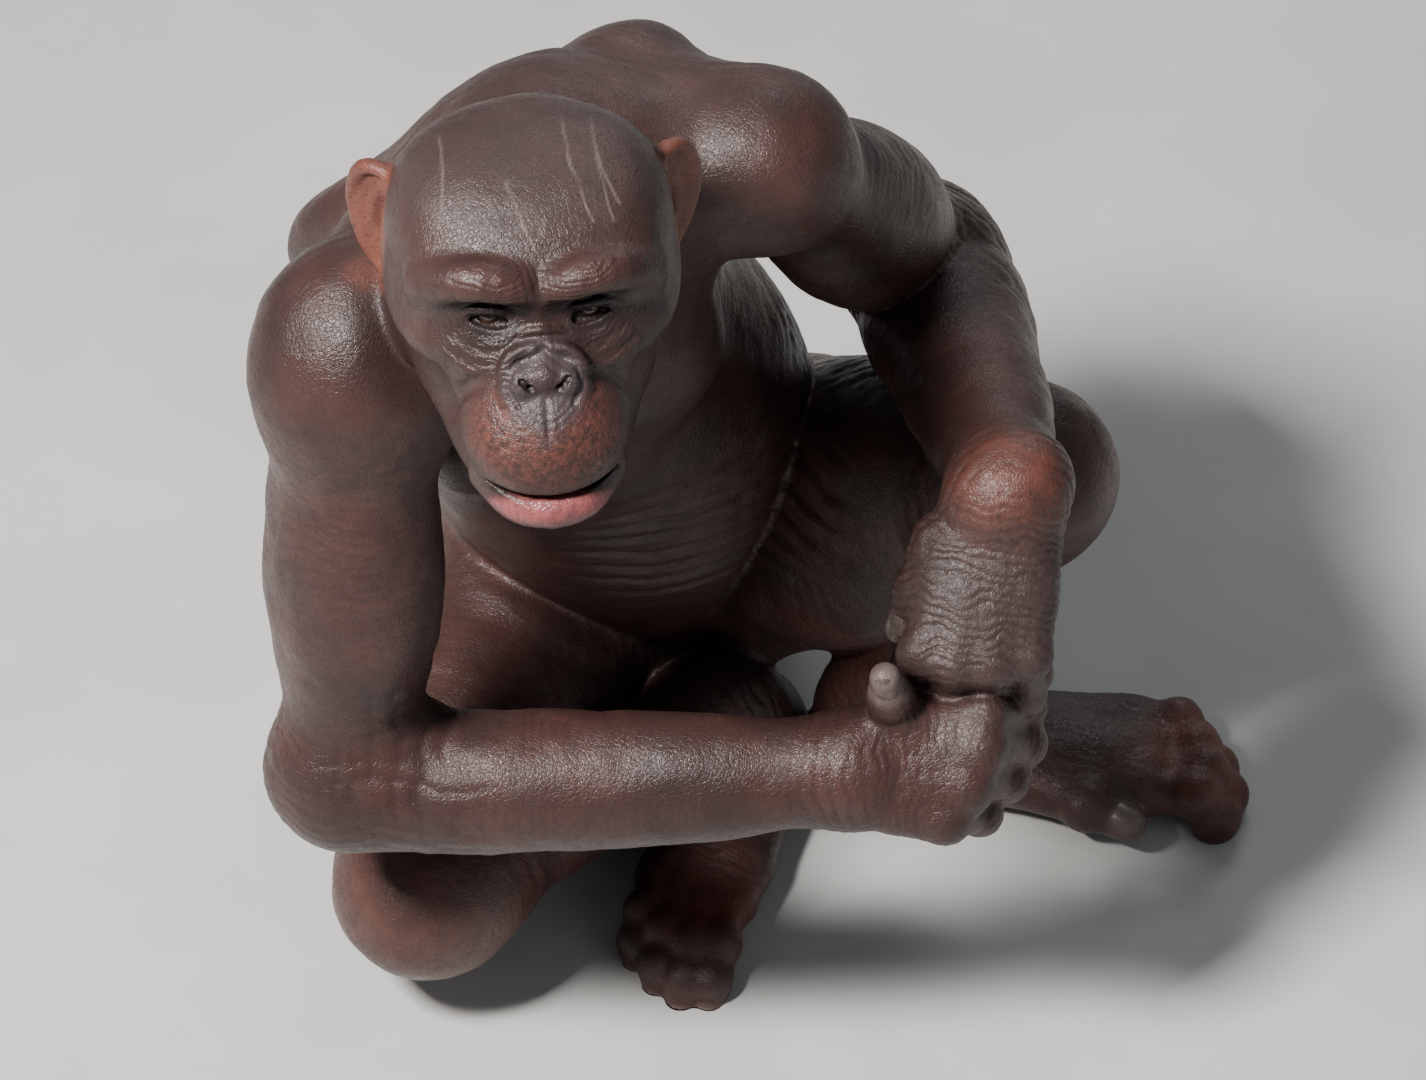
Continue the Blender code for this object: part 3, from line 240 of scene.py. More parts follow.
# ---------------------------------------------------------------- the pose: joint centres in metres
SHOULDER_R = vec(-0.184, -0.362, 0.512)
ELBOW_R = vec(-0.195, -0.413, 0.243)
WRIST_R = vec(0.070, -0.430, 0.257)
SHOULDER_L = vec(0.026, -0.240, 0.524)
ELBOW_L = vec(0.118, -0.080, 0.303)
WRIST_L = vec(0.158, -0.340, 0.380)
HIP_R = vec(-0.105, -0.115, 0.088)
KNEE_R = vec(-0.158, -0.352, 0.085)
ANKLE_R = vec(0.005, -0.203, 0.062)
HIP_L = vec(0.000, -0.078, 0.112)
KNEE_L = vec(0.168, -0.222, 0.272)
ANKLE_L = vec(0.100, -0.192, 0.062)
PELVIS = vec(-0.050, -0.088, 0.112)
CHEST = vec(-0.082, -0.190, 0.362)
NECK = vec(-0.086, -0.300, 0.515)
HEAD = vec(-0.0945, -0.376, 0.600)


def aim(yaw, pitch, roll=0.0):
    """Axes (left, back, up) of a part that looks along yaw and pitch in degrees; roll lifts its left side."""
    a, p = math.radians(yaw), math.radians(pitch)
    front = vec(math.sin(a) * math.cos(p), -math.cos(a) * math.cos(p), math.sin(p))
    up = vec(-math.sin(a) * math.sin(p), math.cos(a) * math.sin(p), math.cos(p))
    left = np.cross(-front, up)
    R = np.array([left, -front, up])
    return R @ turn(front, roll).T


HEAD_AXES = aim(5, 9, 0.8)


def head_flesh():
    h = Flesh(HEAD, HEAD_AXES, True)
    h.add(ell((0, -0.020, 0.023), (0.062, 0.073, 0.050)), both=False)
    h.add(ell((0.040, -0.024, 0.020), (0.029, 0.052, 0.040)), 0.03)
    h.add(ell((0, 0.016, 0.008), (0.054, 0.040, 0.042)), 0.03, both=False)
    h.add(ell((0, -0.064, 0.012), (0.056, 0.030, 0.028)), 0.02, both=False)
    # brow
    h.add(tube([(0.002, -0.093, 0.026, 0.0080), (0.013, -0.097, 0.031, 0.0095), (0.027, -0.096, 0.035, 0.0105), (0.043, -0.088, 0.031, 0.0105), (0.057, -0.072, 0.019, 0.009)], 10), 0.009)
    # cheekbone and its arch back to the ear
    h.add(tube([(0.038, -0.082, -0.012, 0.010), (0.054, -0.068, -0.012, 0.012), (0.062, -0.040, -0.010, 0.011), (0.063, -0.006, -0.004, 0.010)], 8), 0.02)
    h.add(ell((0, -0.058, -0.022), (0.047, 0.040, 0.042)), 0.02, both=False)
    # muzzle
    h.add(ell((0, -0.088, -0.044), (0.042, 0.044, 0.036), aim(0, -12)), 0.02, both=False)
    h.add(ell((0, -0.106, -0.054), (0.039, 0.031, 0.022), aim(0, -16)), 0.015, both=False)
    h.add(ell((0, -0.096, -0.016), (0.016, 0.013, 0.016)), 0.012, both=False)
    # jaw
    h.add(tube([(0.048, -0.004, -0.030, 0.017), (0.042, -0.018, -0.060, 0.018), (0.029, -0.060, -0.080, 0.018), (0.011, -0.096, -0.092, 0.018)], 10), 0.02)
    h.add(ell((0, -0.068, -0.074), (0.032, 0.045, 0.020)), 0.02, both=False)
    h.add(ell((0.047, -0.026, -0.034), (0.016, 0.032, 0.032)), 0.02)
    # lower lip
    h.add(tube([(0.0, -0.128, -0.086, 0.0085), (0.017, -0.122, -0.084, 0.0085), (0.030, -0.106, -0.076, 0.008)], 8), 0.014)
    return h


def ear_flesh(s):
    """s is 1 for the left ear, -1 for the right one."""
    R = HEAD_AXES
    w = unit(vec(0.86 * s, 0.50, 0.0))
    up = unit(vec(0.10 * s, 0.05, 1.0))
    n = unit(np.cross(w, up) * s)
    A = np.array([w, n, np.cross(w, n) * (1 if np.cross(w, n) @ up > 0 else -1)])
    e = Flesh(HEAD + vec(0.061 * s, 0.004, 0.002) @ R, A @ R)
    e.add(ell((0.014, -0.004, 0.003), (0.021, 0.0050, 0.033)))
    e.add(ell((0.000, 0.000, 0.000), (0.013, 0.012, 0.026)), 0.008)
    return e


def trunk_flesh():
    T = frame_of(NECK - PELVIS, SHOULDER_L - SHOULDER_R)
    t = Flesh(CHEST, T, True)
    t.add(ell((-0.012, 0.000, -0.02), (0.100, 0.095, 0.175)), both=False)
    t.add(ell((-0.014, 0.014, 0.080), (0.090, 0.076, 0.098)), 0.05, both=False)
    t.add(ell((-0.052, -0.062, 0.070), (0.058, 0.032, 0.052)), 0.03, both=False)
    t.add(ell((0.030, -0.062, 0.070), (0.036, 0.032, 0.052)), 0.03, both=False)
    t.add(ell((0.070, 0.062, 0.075), (0.050, 0.030, 0.075), frame_of(vec(0.15, 0, 1), vec(1, 0.25, 0))), 0.03)
    t.add(ell((-0.072, 0.025, -0.005), (0.040, 0.055, 0.120)), 0.03, both=False)
    t.add(ell((0.056, 0.025, -0.005), (0.036, 0.055, 0.120)), 0.03, both=False)
    t.cut(cone((0, 0.120, -0.16), (0, 0.117, 0.12), 0.010, 0.008), 0.03, both=False)
    return t


def pelvis_flesh():
    t = Flesh(PELVIS, aim(24, -6), True)
    t.add(ell((0, 0.0, 0.03), (0.107, 0.084, 0.110)), both=False)
    t.add(ell((0.006, -0.060, -0.040), (0.046, 0.040, 0.050)), 0.03, both=False)
    t.add(ell((0.062, 0.034, -0.038), (0.068, 0.078, 0.080)), 0.03)
    return t


def belly_flesh():
    t = Flesh(PELVIS, aim(24, -6))
    t.add(ell((-0.010, -0.030, 0.120), (0.099, 0.094, 0.125)))
    return t


def girdle_flesh():
    g = Flesh()
    g.add(cone(SHOULDER_R, mix(SHOULDER_R, NECK, 0.75) + vec(0, 0.05, -0.02), 0.048, 0.054))
    g.add(cone(SHOULDER_L, mix(SHOULDER_L, NECK, 0.75) + vec(0, 0.05, -0.02), 0.036, 0.054), 0.04)
    g.add(cone(mix(SHOULDER_R, NECK, 0.35) + vec(0, 0.04, 0), NECK + vec(0, 0.06, 0.005), 0.034, 0.042), 0.04)
    g.add(cone(mix(SHOULDER_L, NECK, 0.35) + vec(0, 0.03, 0), NECK + vec(0, 0.06, 0.005), 0.030, 0.042), 0.04)
    g.add(cone(vec(-0.050, -0.163, 0.484), vec(0.022, -0.214, 0.520), 0.030, 0.034), 0.03)
    return g


def neck_flesh():
    n = Flesh()
    n.add(cone(NECK + vec(0.0, 0.030, -0.03), HEAD + vec(0, 0.012, -0.030), 0.060, 0.050))
    n.add(cone(NECK + vec(0.0, 0.050, -0.01), HEAD + vec(0, 0.030, -0.012), 0.050, 0.040), 0.03)
    return n


def arm_flesh(s, e, w, bend, wide, cap, swell, fore, sag, scale=1.0):
    """One arm: s, e, w its joints, bend where the elbow points, wide the broad direction of the forearm,
    swell how far the muscles stand out from the bone, fore the half widths of the forearm and sag how its
    muscles hang."""
    a, b = Flesh(), Flesh()
    u = unit(e - s)
    f = unit(w - e)
    out = unit(np.asarray(bend, float) - u * (u @ bend))
    k = scale
    # shoulder cap
    a.add(ell(s + u * (cap - 0.024), (cap, cap * 1.04, cap * 1.3), frame_of(u, out)))
    a.add(cone(s + u * 0.03, e - u * 0.02, cap * 0.88, 0.036 * k), 0.02)
    # biceps in front, triceps behind
    a.add(ell(mix(s, e, 0.56) - out * swell, (0.036 * k, 0.041 * k, 0.080), frame_of(u, out)), 0.02)
    a.add(ell(mix(s, e, 0.52) + out * swell, (0.038 * k, 0.043 * k, 0.095), frame_of(u, out)), 0.02)
    # elbow
    a.add(ell(e + unit(unit(s - e) * -0.5 - f) * 0.008, (0.034, 0.036, 0.034), frame_of(f, out)), 0.025)
    # forearm
    b.add(cone(e + sag * 0.6, w, 0.033 * k, 0.025 * k), 0.02)
    b.add(ell(mix(e, w, 0.27) + sag, (fore[0] * k, 0.038 * k, 0.092), frame_of(f, wide)), 0.02)
    b.add(ell(mix(e, w, 0.62) + sag * 0.7, (fore[1] * k, 0.029 * k, 0.090), frame_of(f, wide)), 0.02)
    b.add(ell(w, (fore[2] * k, 0.025 * k, 0.030), frame_of(f, wide)), 0.02)
    return a, b


def arm_parts(s):
    if s == "r":
        a, b = arm_flesh(SHOULDER_R, ELBOW_R, WRIST_R, unit(vec(-0.3, 0.9, -0.1)), vec(0, 0.6, 0.8), 0.050, 0.017, (0.036, 0.033, 0.028), vec(0, -0.008, -0.008))
        e, w, hand = ELBOW_R, WRIST_R, right_hand()
    else:
        a, b = arm_flesh(SHOULDER_L, ELBOW_L, WRIST_L, unit(vec(0.3, 0.5, 0.7)), vec(1, 0.1, 0.2), 0.040, 0.010, (0.046, 0.036, 0.032), vec(0, 0, 0), 1.04)
        e, w, hand = ELBOW_L, WRIST_L, left_hand()
    return [("upper_arm_" + s, a, 0, None), ("forearm_" + s, b, 0.030, (e, 0.055, 0.085)), ("hand_" + s, hand, 0.012, (w, 0.03, 0.05))]


def leg_flesh(h, k, a, front, thick):
    l, m = Flesh(), Flesh()
    u = unit(k - h)
    s = unit(a - k)
    fr = unit(np.asarray(front, float) - u * (u @ front))
    l.add(cone(h, k, thick, 0.048))
    l.add(ell(mix(h, k, 0.50) + fr * 0.022, (0.052, 0.056, 0.115), frame_of(u, fr)), 0.03)
    l.add(ell(mix(h, k, 0.42) - fr * 0.038, (0.054, 0.058, 0.110), frame_of(u, fr)), 0.03)
    l.add(ell(k + u * 0.004, (0.046, 0.048, 0.050), frame_of(u, fr)), 0.02)
    m.add(cone(k, a, 0.042, 0.029), 0.02)
    b = unit(-(u - s * (u @ s)))
    m.add(ell(mix(k, a, 0.40) + b * 0.016, (0.036, 0.040, 0.080), frame_of(s, b)), 0.02)
    return l, m


def leg_parts(s):
    if s == "r":
        a, b = leg_flesh(HIP_R, KNEE_R, ANKLE_R, unit(vec(-0.5, -0.2, 0.9)), 0.07)
        k, w, foot = KNEE_R, ANKLE_R, right_foot()
    else:
        a, b = leg_flesh(HIP_L, KNEE_L, ANKLE_L, unit(vec(0.0, 0.6, 0.8)), 0.07)
        k, w, foot = KNEE_L, ANKLE_L, left_foot()
    return [("thigh_" + s, a, 0, None), ("shin_" + s, b, 0.025, (k, 0.06, 0.09)), ("foot_" + s, foot, 0.02, (w, 0.055, 0.08))]


def digit(base, way, axis, lengths, bends, radii):
    """The joints (x, y, z, radius) of a finger or toe that starts along way and bends about axis."""
    p = np.asarray(base, float)
    d = unit(way)
    out = [(*p, radii[0])]
    for L, b, r in zip(lengths, bends, radii[1:]):
        d = turn(axis, b) @ d
        p = p + d * L
        out.append((*p, r))
    return out


def put_digit(f, pts, k, knuckle=1.12):
    for i in range(len(pts) - 1):
        a, b = pts[i], pts[i + 1]
        f.add(cone(a[:3], b[:3], a[3] * 0.93, b[3] * 0.93), k if i == 0 else 0.006)
        if i:
            f.add(ell(a[:3], (a[3] * knuckle,) * 3), 0.006)
    return f


# finger widths and lengths of the hand, from index to little finger
FINGER = [(0.046, 0.030, 0.022), (0.050, 0.034, 0.023), (0.048, 0.032, 0.022), (0.040, 0.025, 0.020)]
FINGER_R = [0.0112, 0.0118, 0.0114, 0.0102]


def hand_flesh(w, way, thumb, back, palm, bends, fans, thumb_pts, short=(0, -0.002, 0.002, 0.009)):
    """w wrist, way fingers' direction, thumb the thumb's side, back the back of the hand; short is how
    much nearer to the wrist each knuckle lies."""
    f = Flesh()
    d = unit(way)
    t = unit(np.asarray(thumb, float) - d * (d @ thumb))
    n = unit(np.cross(d, t))
    if n @ back < 0:
        n = -n
    axis = np.cross(n, d)  # a positive turn about it bends towards the back
    f.add(ell(w + d * 0.012, (0.031, 0.022, 0.028), frame_of(d, t)))
    f.add(ell(w + d * palm * 0.55 - n * 0.004, (0.036, 0.017, palm * 0.50), frame_of(d, t)), 0.015)
    for i in range(4):
        s = (0.029 - 0.0192 * i)
        m = w + d * (palm - short[i]) + t * s + n * (0, 0.003, 0.002, -0.002)[i]
        c = w + d * 0.018 + t * s * 0.55
        f.add(cone(c, m, 0.0125, FINGER_R[i] * 1.10), 0.012)
        way_i = unit(d + t * fans[i])
        r = FINGER_R[i]
        put_digit(f, digit(m, way_i, axis, FINGER[i], bends[i], [r * 1.05, r, r * 0.93, r * 0.80]), 0.008)
    put_digit(f, thumb_pts, 0.016)
    return f


def right_hand():
    w = WRIST_R
    way = unit(vec(0.95, -0.10, 0.10))
    up = vec(0.0, 0.66, 0.75)
    back = unit(vec(0.0, -0.75, 0.66))
    d = way
    curl = [(70, 85, 55)] * 4
    th = w + unit(way) * 0.030 + unit(up) * 0.026
    thumb = digit(th, unit(vec(-0.19, -0.22, 0.95)), vec(1, 0, 0), (0.024, 0.020), (0, 0), [0.0145, 0.0110, 0.0090])
    return hand_flesh(w, way, up, back, 0.077, curl, (0.0, 0, 0, 0), thumb, (0.001, 0.003, 0.011, 0.022))


def left_hand():
    w = WRIST_L
    way = unit(vec(-0.20, -0.70, -0.72))
    side = vec(-1.0, 0.10, 0.05)
    back = unit(vec(0.0, -0.70, 0.70))
    curl = [(58, 60, 40)] * 4
    th = w + unit(way) * 0.030 + vec(-0.034, 0.006, -0.004)
    thumb = digit(th, unit(vec(-0.35, -0.45, -0.80)), vec(1, 0, 0), (0.030, 0.022), (0, 0), [0.014, 0.011, 0.009])
    return hand_flesh(w, way, side, back, 0.096, curl, (0.05, 0.0, 0, -0.04), thumb)


def foot_flesh(heel, ball, ankle, inside, curls, hallux, wide):
    """heel and ball on the sole's middle, inside points to the big toe's side."""
    f = Flesh()
    d = unit((ball - heel) * vec(1, 1, 0))
    n = unit(np.asarray(inside, float) - d * (d @ inside))
    up = vec(0, 0, 1)
    L = np.linalg.norm(ball - heel)
    f.add(ell(heel + d * 0.012 + up * 0.024, (0.027, 0.036, 0.027), frame_of(up, n)))
    f.add(cone(ankle, heel + d * 0.035 + up * 0.026, 0.031, 0.027), 0.03)
    f.add(cone(ankle, heel + d * 0.075 + up * 0.030, 0.030, 0.024), 0.03)
    f.add(cone(heel + d * 0.03 + up * 0.022, ball - d * 0.02 + up * 0.018 + n * 0.004, 0.028, 0.021), 0.02)
    axis = np.cross(up, d)  # a positive turn bends down
    for i in range(4):
        s = (0.018 - 0.0165 * i) * wide
        m = ball + n * s + up * 0.019 - d * (0, 0, 0.004, 0.012)[i]
        c = heel + d * 0.065 + n * s * 0.5 + up * 0.030
        r = (0.0122, 0.0122, 0.0116, 0.0108)[i] * wide
        f.add(cone(c, m, 0.018, r * 1.15), 0.014)
        q = (0.034, 0.036, 0.034, 0.030)[i]
        put_digit(f, digit(m, d, axis, (q, q * 0.62, q * 0.52), curls, [r, r * 0.95, r * 0.92, r * 0.82]), 0.008)
    put_digit(f, hallux, 0.018)
    return f


def right_foot():
    heel, ball = vec(0.028, -0.162, 0.0), vec(-0.006, -0.307, 0.0)
    d = unit(ball - heel)
    n = unit(vec(1, -0.3, 0))
    b = heel + d * 0.075 + n * 0.013 + vec(0, 0, 0.026)
    hallux = digit(b, unit(d + n * 0.10), vec(1, 0, 0), (0.044, 0.026), (6, 10), [0.016, 0.013, 0.0105])
    return foot_flesh(heel, ball, ANKLE_R, n, (-6, 40, 36), hallux, 0.95)


def left_foot():
    heel, ball = vec(0.074, -0.184, 0.0), vec(0.246, -0.209, 0.008)
    d = unit(ball - heel)
    n = unit(vec(-0.08, -1, 0))
    b = heel + d * 0.098 + n * 0.020 + vec(0, 0, 0.024)
    hallux = digit(b, unit(d + n * 0.38), vec(1, 0, 0), (0.050, 0.028), (6, 10), [0.016, 0.0135, 0.011])
    return foot_flesh(heel, ball, ANKLE_L, n, (-2, 58, 40), hallux, 1.12)


def whole(gap=0.0, leave=(), stops={}):
    """All the flesh, as chains of parts. A chain: name, smoothness where it grows from the body, and there
    a point with the reach of full and of no smoothness; elsewhere it only rests against the chains before it,
    gap metres apart. A part of a chain: name, shapes, smoothness, and where it is joined, if not all along.
    stops ends a part a little beyond a plane."""
    chains = [
        ("body", 0, None, [
            ("trunk", trunk_flesh(), 0.0, None),
            ("pelvis", pelvis_flesh(), 0.06, None),
            ("belly", belly_flesh(), 0.055, None),
            ("girdle", girdle_flesh(), 0.05, None),
            ("neck", neck_flesh(), 0.04, None),
            ("head", head_flesh(), 0.025, (HEAD + vec(0, 0.02, -0.03), 0.075, 0.105)),
            ("ear_r", ear_flesh(-1), 0.006, None),
            ("ear_l", ear_flesh(1), 0.006, None),
        ]),
        ("arm_l", 0.03, (SHOULDER_L, 0.07, 0.12), arm_parts("l")),
        ("arm_r", 0.04, (SHOULDER_R, 0.08, 0.13), arm_parts("r")),
        ("leg_r", 0.035, (HIP_R, 0.12, 0.17), leg_parts("r")),
        ("leg_l", 0.035, (HIP_L, 0.12, 0.17), leg_parts("l")),
    ]
    chains = [(a, b, c, [p for p in d if p[0] not in leave]) for a, b, c, d in chains if a not in leave]
    return Body(chains, gap, stops)


class Body:
    def __init__(self, chains, gap, stops):
        self.chains, self.gap, self.stops = chains, gap, stops

    def __call__(self, x, y, z, part=None):
        lo = np.array([x.min(), y.min(), z.min()])
        hi = np.array([x.max(), y.max(), z.max()])
        far = np.full(x.shape, CAP, x.dtype)

        def reach(root):
            c, r0, r1 = root
            r = np.sqrt((x - c[0]) ** 2 + (y - c[1]) ** 2 + (z - c[2]) ** 2)
            return 1 - smooth01((r - r0) / (r1 - r0))

        f, apart = None, CAP
        for chain, k, root, parts in self.chains:
            c, kept, first = None, None, None
            for name, g, kp, joint in parts:
                v = g.at(x, y, z, lo, hi)
                if v is None:
                    if name == part:
                        return far
                    continue
                if name in self.stops:
                    p, n = self.stops[name][:2]
                    n = unit(n)
                    v = np.maximum(v, (x - p[0]) * n[0] + (y - p[1]) * n[1] + (z - p[2]) * n[2] - 0.008)
                    for r in self.stops[name][2:]:
                        v = np.maximum(v, np.sqrt((x - p[0]) ** 2 + (y - p[1]) ** 2 + (z - p[2]) ** 2) - r)
                if name in ("belly", "head"):
                    apart = np.minimum(apart, v)
                w = None
                if name == parts[0][0]:
                    first = v
                elif f is not None:
                    v = np.maximum(v, self.gap - f)
                    if first is not None and name == parts[-1][0]:
                        v = np.maximum(v, self.gap - first)
                if c is None:
                    c = v
                elif joint is None:
                    c = smin(c, v, kp)
                else:
                    w = reach(joint)
                    v = np.maximum(v, self.gap - w * 0.2 - c)
                    c = smin(c, v, 0.001 + kp * w)
                if name == part:
                    kept = (v, w)
            if c is None:
                if chain == part:
                    return far
                continue
            w = None
            if f is None:
                f = c
            else:
                w = reach(root) * (0 if first is None else 1 - smooth01(first / 0.03)) * smooth01(apart / 0.03)
                c = np.maximum(c, self.gap - w * 0.2 - f)
                f = smin(f, c, 0.001 + k * w)
            if chain == part:
                return f if w is None else np.maximum(f, c - 0.02 * w - 0.0003)
            if kept is not None:
                v, w = kept
                return c if w is None else np.maximum(c, v - 0.03 * w - 0.0003)
        return far if f is None else f


def near(field, pts, cell=0.03):
    """The field at scattered points, worked out cell by cell."""
    key = np.floor(pts / cell).astype(np.int64)
    key -= key.min(0)
    n = key.max(0) + 1
    flat = (key[:, 0] * n[1] + key[:, 1]) * n[2] + key[:, 2]
    order = np.argsort(flat, kind="stable")
    cuts = np.nonzero(np.diff(flat[order]))[0] + 1
    out = np.empty(len(pts))
    for part in np.split(order, cuts):
        p = pts[part]
        out[part] = field(p[:, 0], p[:, 1], p[:, 2])
    return out


def slope(field, pts, h=0.0004):
    """Outward direction of the surface at the points, and the field there."""
    e = np.array([[1, -1, -1], [-1, -1, 1], [-1, 1, -1], [1, 1, 1]], float)
    q = (pts[:, None, :] + h * e[None]).reshape(-1, 3)
    v = near(field, q).reshape(-1, 4)
    return (v[:, :, None] * e[None]).sum(1) / (4 * h), v.mean(1)


def settle(field, pts, steps=2, limit=0.002):
    """Moves the points onto the surface."""
    for _ in range(steps):
        g, f = slope(field, pts)
        d = f / np.maximum((g * g).sum(1), 0.25)
        pts = pts - np.clip(d, -limit, limit)[:, None] * g
    return pts


# ---------------------------------------------------------------- finer flesh
NAILS = []  # (points, axis, pale) of every finger and toe


def digit_kept(base, way, axis, lengths, bends, radii, plain=digit):
    out = plain(base, way, axis, lengths, bends, radii)
    NAILS.append((out, np.asarray(axis, float)))
    return out


digit = digit_kept
CAD_EYE = vec(0.0248, -0.0800, 0.0080)

EYE = 0.0105
EYES = {"eye_l": vec(0.0248, -0.0800, 0.0080), "eye_r": vec(-0.0248, -0.0800, 0.0080)}
SHIFT = (
    np.array([(a + b) / 2 for a, b in zip(*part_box("eye_l"))])
    - (HEAD + CAD_EYE @ HEAD_AXES)
)


def face_flesh():
    """The head with its eyelids, nose, lips and folds, which the plain head leaves out."""
    h = head_flesh()
    # hollows under the brow
    h.cut(ell((0.027, -0.106, 0.0150), (0.020, 0.017, 0.0085)), 0.006)
    h.cut(ell((0.010, -0.112, 0.014), (0.008, 0.012, 0.008)), 0.008)
    # eyelids round the eye
    h.add(ell((0.0248, -0.0800, 0.0080), (0.0127, 0.0127, 0.0124)), 0.003)
    h.add(tube([(0.0135, -0.0915, 0.0125, 0.0016), (0.022, -0.0945, 0.0165, 0.0021), (0.032, -0.0925, 0.0165, 0.0021), (0.041, -0.086, 0.0115, 0.0016)], 8), 0.003)
    # bags under the eye
    h.add(tube([(0.0125, -0.0965, 0.0030, 0.0019), (0.019, -0.0965, -0.0015, 0.0022), (0.028, -0.0950, -0.0030, 0.0022), (0.038, -0.0900, 0.0010, 0.0018)], 8), 0.0035)
    h.add(tube([(0.0125, -0.1010, -0.0030, 0.0018), (0.021, -0.0990, -0.0090, 0.0023), (0.032, -0.0955, -0.0095, 0.0022), (0.044, -0.0900, -0.0040, 0.0018)], 8), 0.004)
    h.add(tube([(0.015, -0.1050, -0.0090, 0.0018), (0.024, -0.1010, -0.0160, 0.0022), (0.036, -0.0965, -0.0165, 0.0020), (0.048, -0.0890, -0.0110, 0.0016)], 8), 0.004)
    # folds on the bridge of the nose
    for i in range(3):
        z = 0.006 - 0.006 * i
        h.add(tube([(-0.009, -0.0990 - 0.0022 * i, z - 0.001, 0.0012), (0, -0.1010 - 0.0028 * i, z + 0.001, 0.0018), (0.009, -0.0990 - 0.0022 * i, z - 0.001, 0.0012)], 6), 0.003, both=False)
    # the slit between the lids, then the room for the eye
    h.cut(tube([(0.0150, -0.0925, 0.0068, 0.0010), (0.0203, -0.0940, 0.0082, 0.0034), (0.0275, -0.0935, 0.0092, 0.0037), (0.0352, -0.0890, 0.0090, 0.0011)], 8), 0.001)
    h.cut(ell((0.0248, -0.0800, 0.0080), (0.0106, 0.0106, 0.0106)), 0.0005)
    # nose: tip, wings with their round outer folds, nostrils in a V
    h.add(ell((0, -0.1125, -0.0125), (0.0085, 0.0080, 0.0075)), 0.006, both=False)
    h.add(ell((0.0115, -0.1120, -0.0165), (0.0080, 0.0085, 0.0085)), 0.004)
    h.add(tube([(0.0050, -0.1060, 0.0000, 0.0022), (0.0150, -0.1060, -0.0035, 0.0032), (0.0205, -0.1090, -0.0140, 0.0036), (0.0180, -0.1150, -0.0255, 0.0036), (0.0085, -0.1225, -0.0315, 0.0026)], 12), 0.0035)
    h.cut(tube([(0.0155, -0.1130, -0.0055, 0.0010), (0.0190, -0.1165, -0.0160, 0.0013), (0.0140, -0.1210, -0.0255, 0.0010)], 8), 0.0015)
    h.cut(tube([(0.0024, -0.1225, -0.0205, 0.0012), (0.0070, -0.1210, -0.0165, 0.0019), (0.0118, -0.1180, -0.0115, 0.0012)], 6), 0.0012)
    h.cut(tube([(0.0070, -0.1190, -0.0160, 0.0017), (0.0085, -0.1130, -0.0140, 0.0016)], 5), 0.001)
    # groove from the nose to the lip
    h.cut(tube([(0, -0.1215, -0.0215, 0.0010), (0, -0.1275, -0.0290, 0.0011), (0, -0.1325, -0.0380, 0.0006)], 8), 0.0022, both=False)
    # fold between cheek and muzzle
    h.cut(tube([(0.0255, -0.1110, -0.0150, 0.0014), (0.0360, -0.1010, -0.0240, 0.0026), (0.0440, -0.0900, -0.0380, 0.0030), (0.0470, -0.0850, -0.0560, 0.0018)], 8), 0.006)
    # lips
    h.add(tube([(0.000, -0.1325, -0.0665, 0.0050), (0.014, -0.1290, -0.0650, 0.0050), (0.025, -0.1185, -0.0635, 0.0046), (0.031, -0.1080, -0.0640, 0.0034)], 8), 0.006)
    h.add(tube([(0.000, -0.1310, -0.0830, 0.0078), (0.014, -0.1270, -0.0815, 0.0076), (0.024, -0.1150, -0.0765, 0.0062), (0.030, -0.1060, -0.0705, 0.0038)], 8), 0.004)
    h.cut(tube([(0.000, -0.1280, -0.0728, 0.0130), (0.014, -0.1250, -0.0722, 0.0120), (0.024, -0.1150, -0.0700, 0.0095), (0.0305, -0.1070, -0.0675, 0.0040)], 10, (vec(0, 0.12, 1), 0.17)), 0.0012)
    return h


def shaped_ear(s):
    """The ear with its rim, hollow and lobe."""
    e = ear_flesh(s)
    e.add(tube([(0.000, 0.003, 0.010, 0.0026), (0.004, 0.003, 0.026, 0.0030), (0.013, 0.001, 0.0345, 0.0034), (0.025, -0.002, 0.0310, 0.0036), (0.0325, -0.004, 0.0170, 0.0036), (0.0335, -0.005, 0.0020, 0.0030), (0.0280, -0.005, -0.0140, 0.0028), (0.0190, -0.003, -0.0260, 0.0034), (0.0100, -0.001, -0.0310, 0.0042)], 24), 0.003)
    e.cut(ell((0.0150, 0.0035, 0.0040), (0.0145, 0.0062, 0.0245)), 0.003)
    e.cut(ell((0.0050, 0.0030, -0.0060), (0.0075, 0.0075, 0.0095)), 0.003)
    e.add(tube([(0.0110, -0.002, 0.0250, 0.0018), (0.0190, -0.003, 0.0140, 0.0022), (0.0205, -0.003, -0.0010, 0.0022), (0.0140, -0.002, -0.0150, 0.0022)], 10), 0.004)
    e.add(ell((-0.0005, 0.0065, -0.0050), (0.0040, 0.0040, 0.0070)), 0.003)
    return e


body = whole(0.0)
fine = {"head": face_flesh(), "ear_r": shaped_ear(-1), "ear_l": shaped_ear(1)}
body.chains = [(a, b, c, [(n, fine.get(n, g), k, j) for n, g, k, j in d]) for a, b, c, d in body.chains]


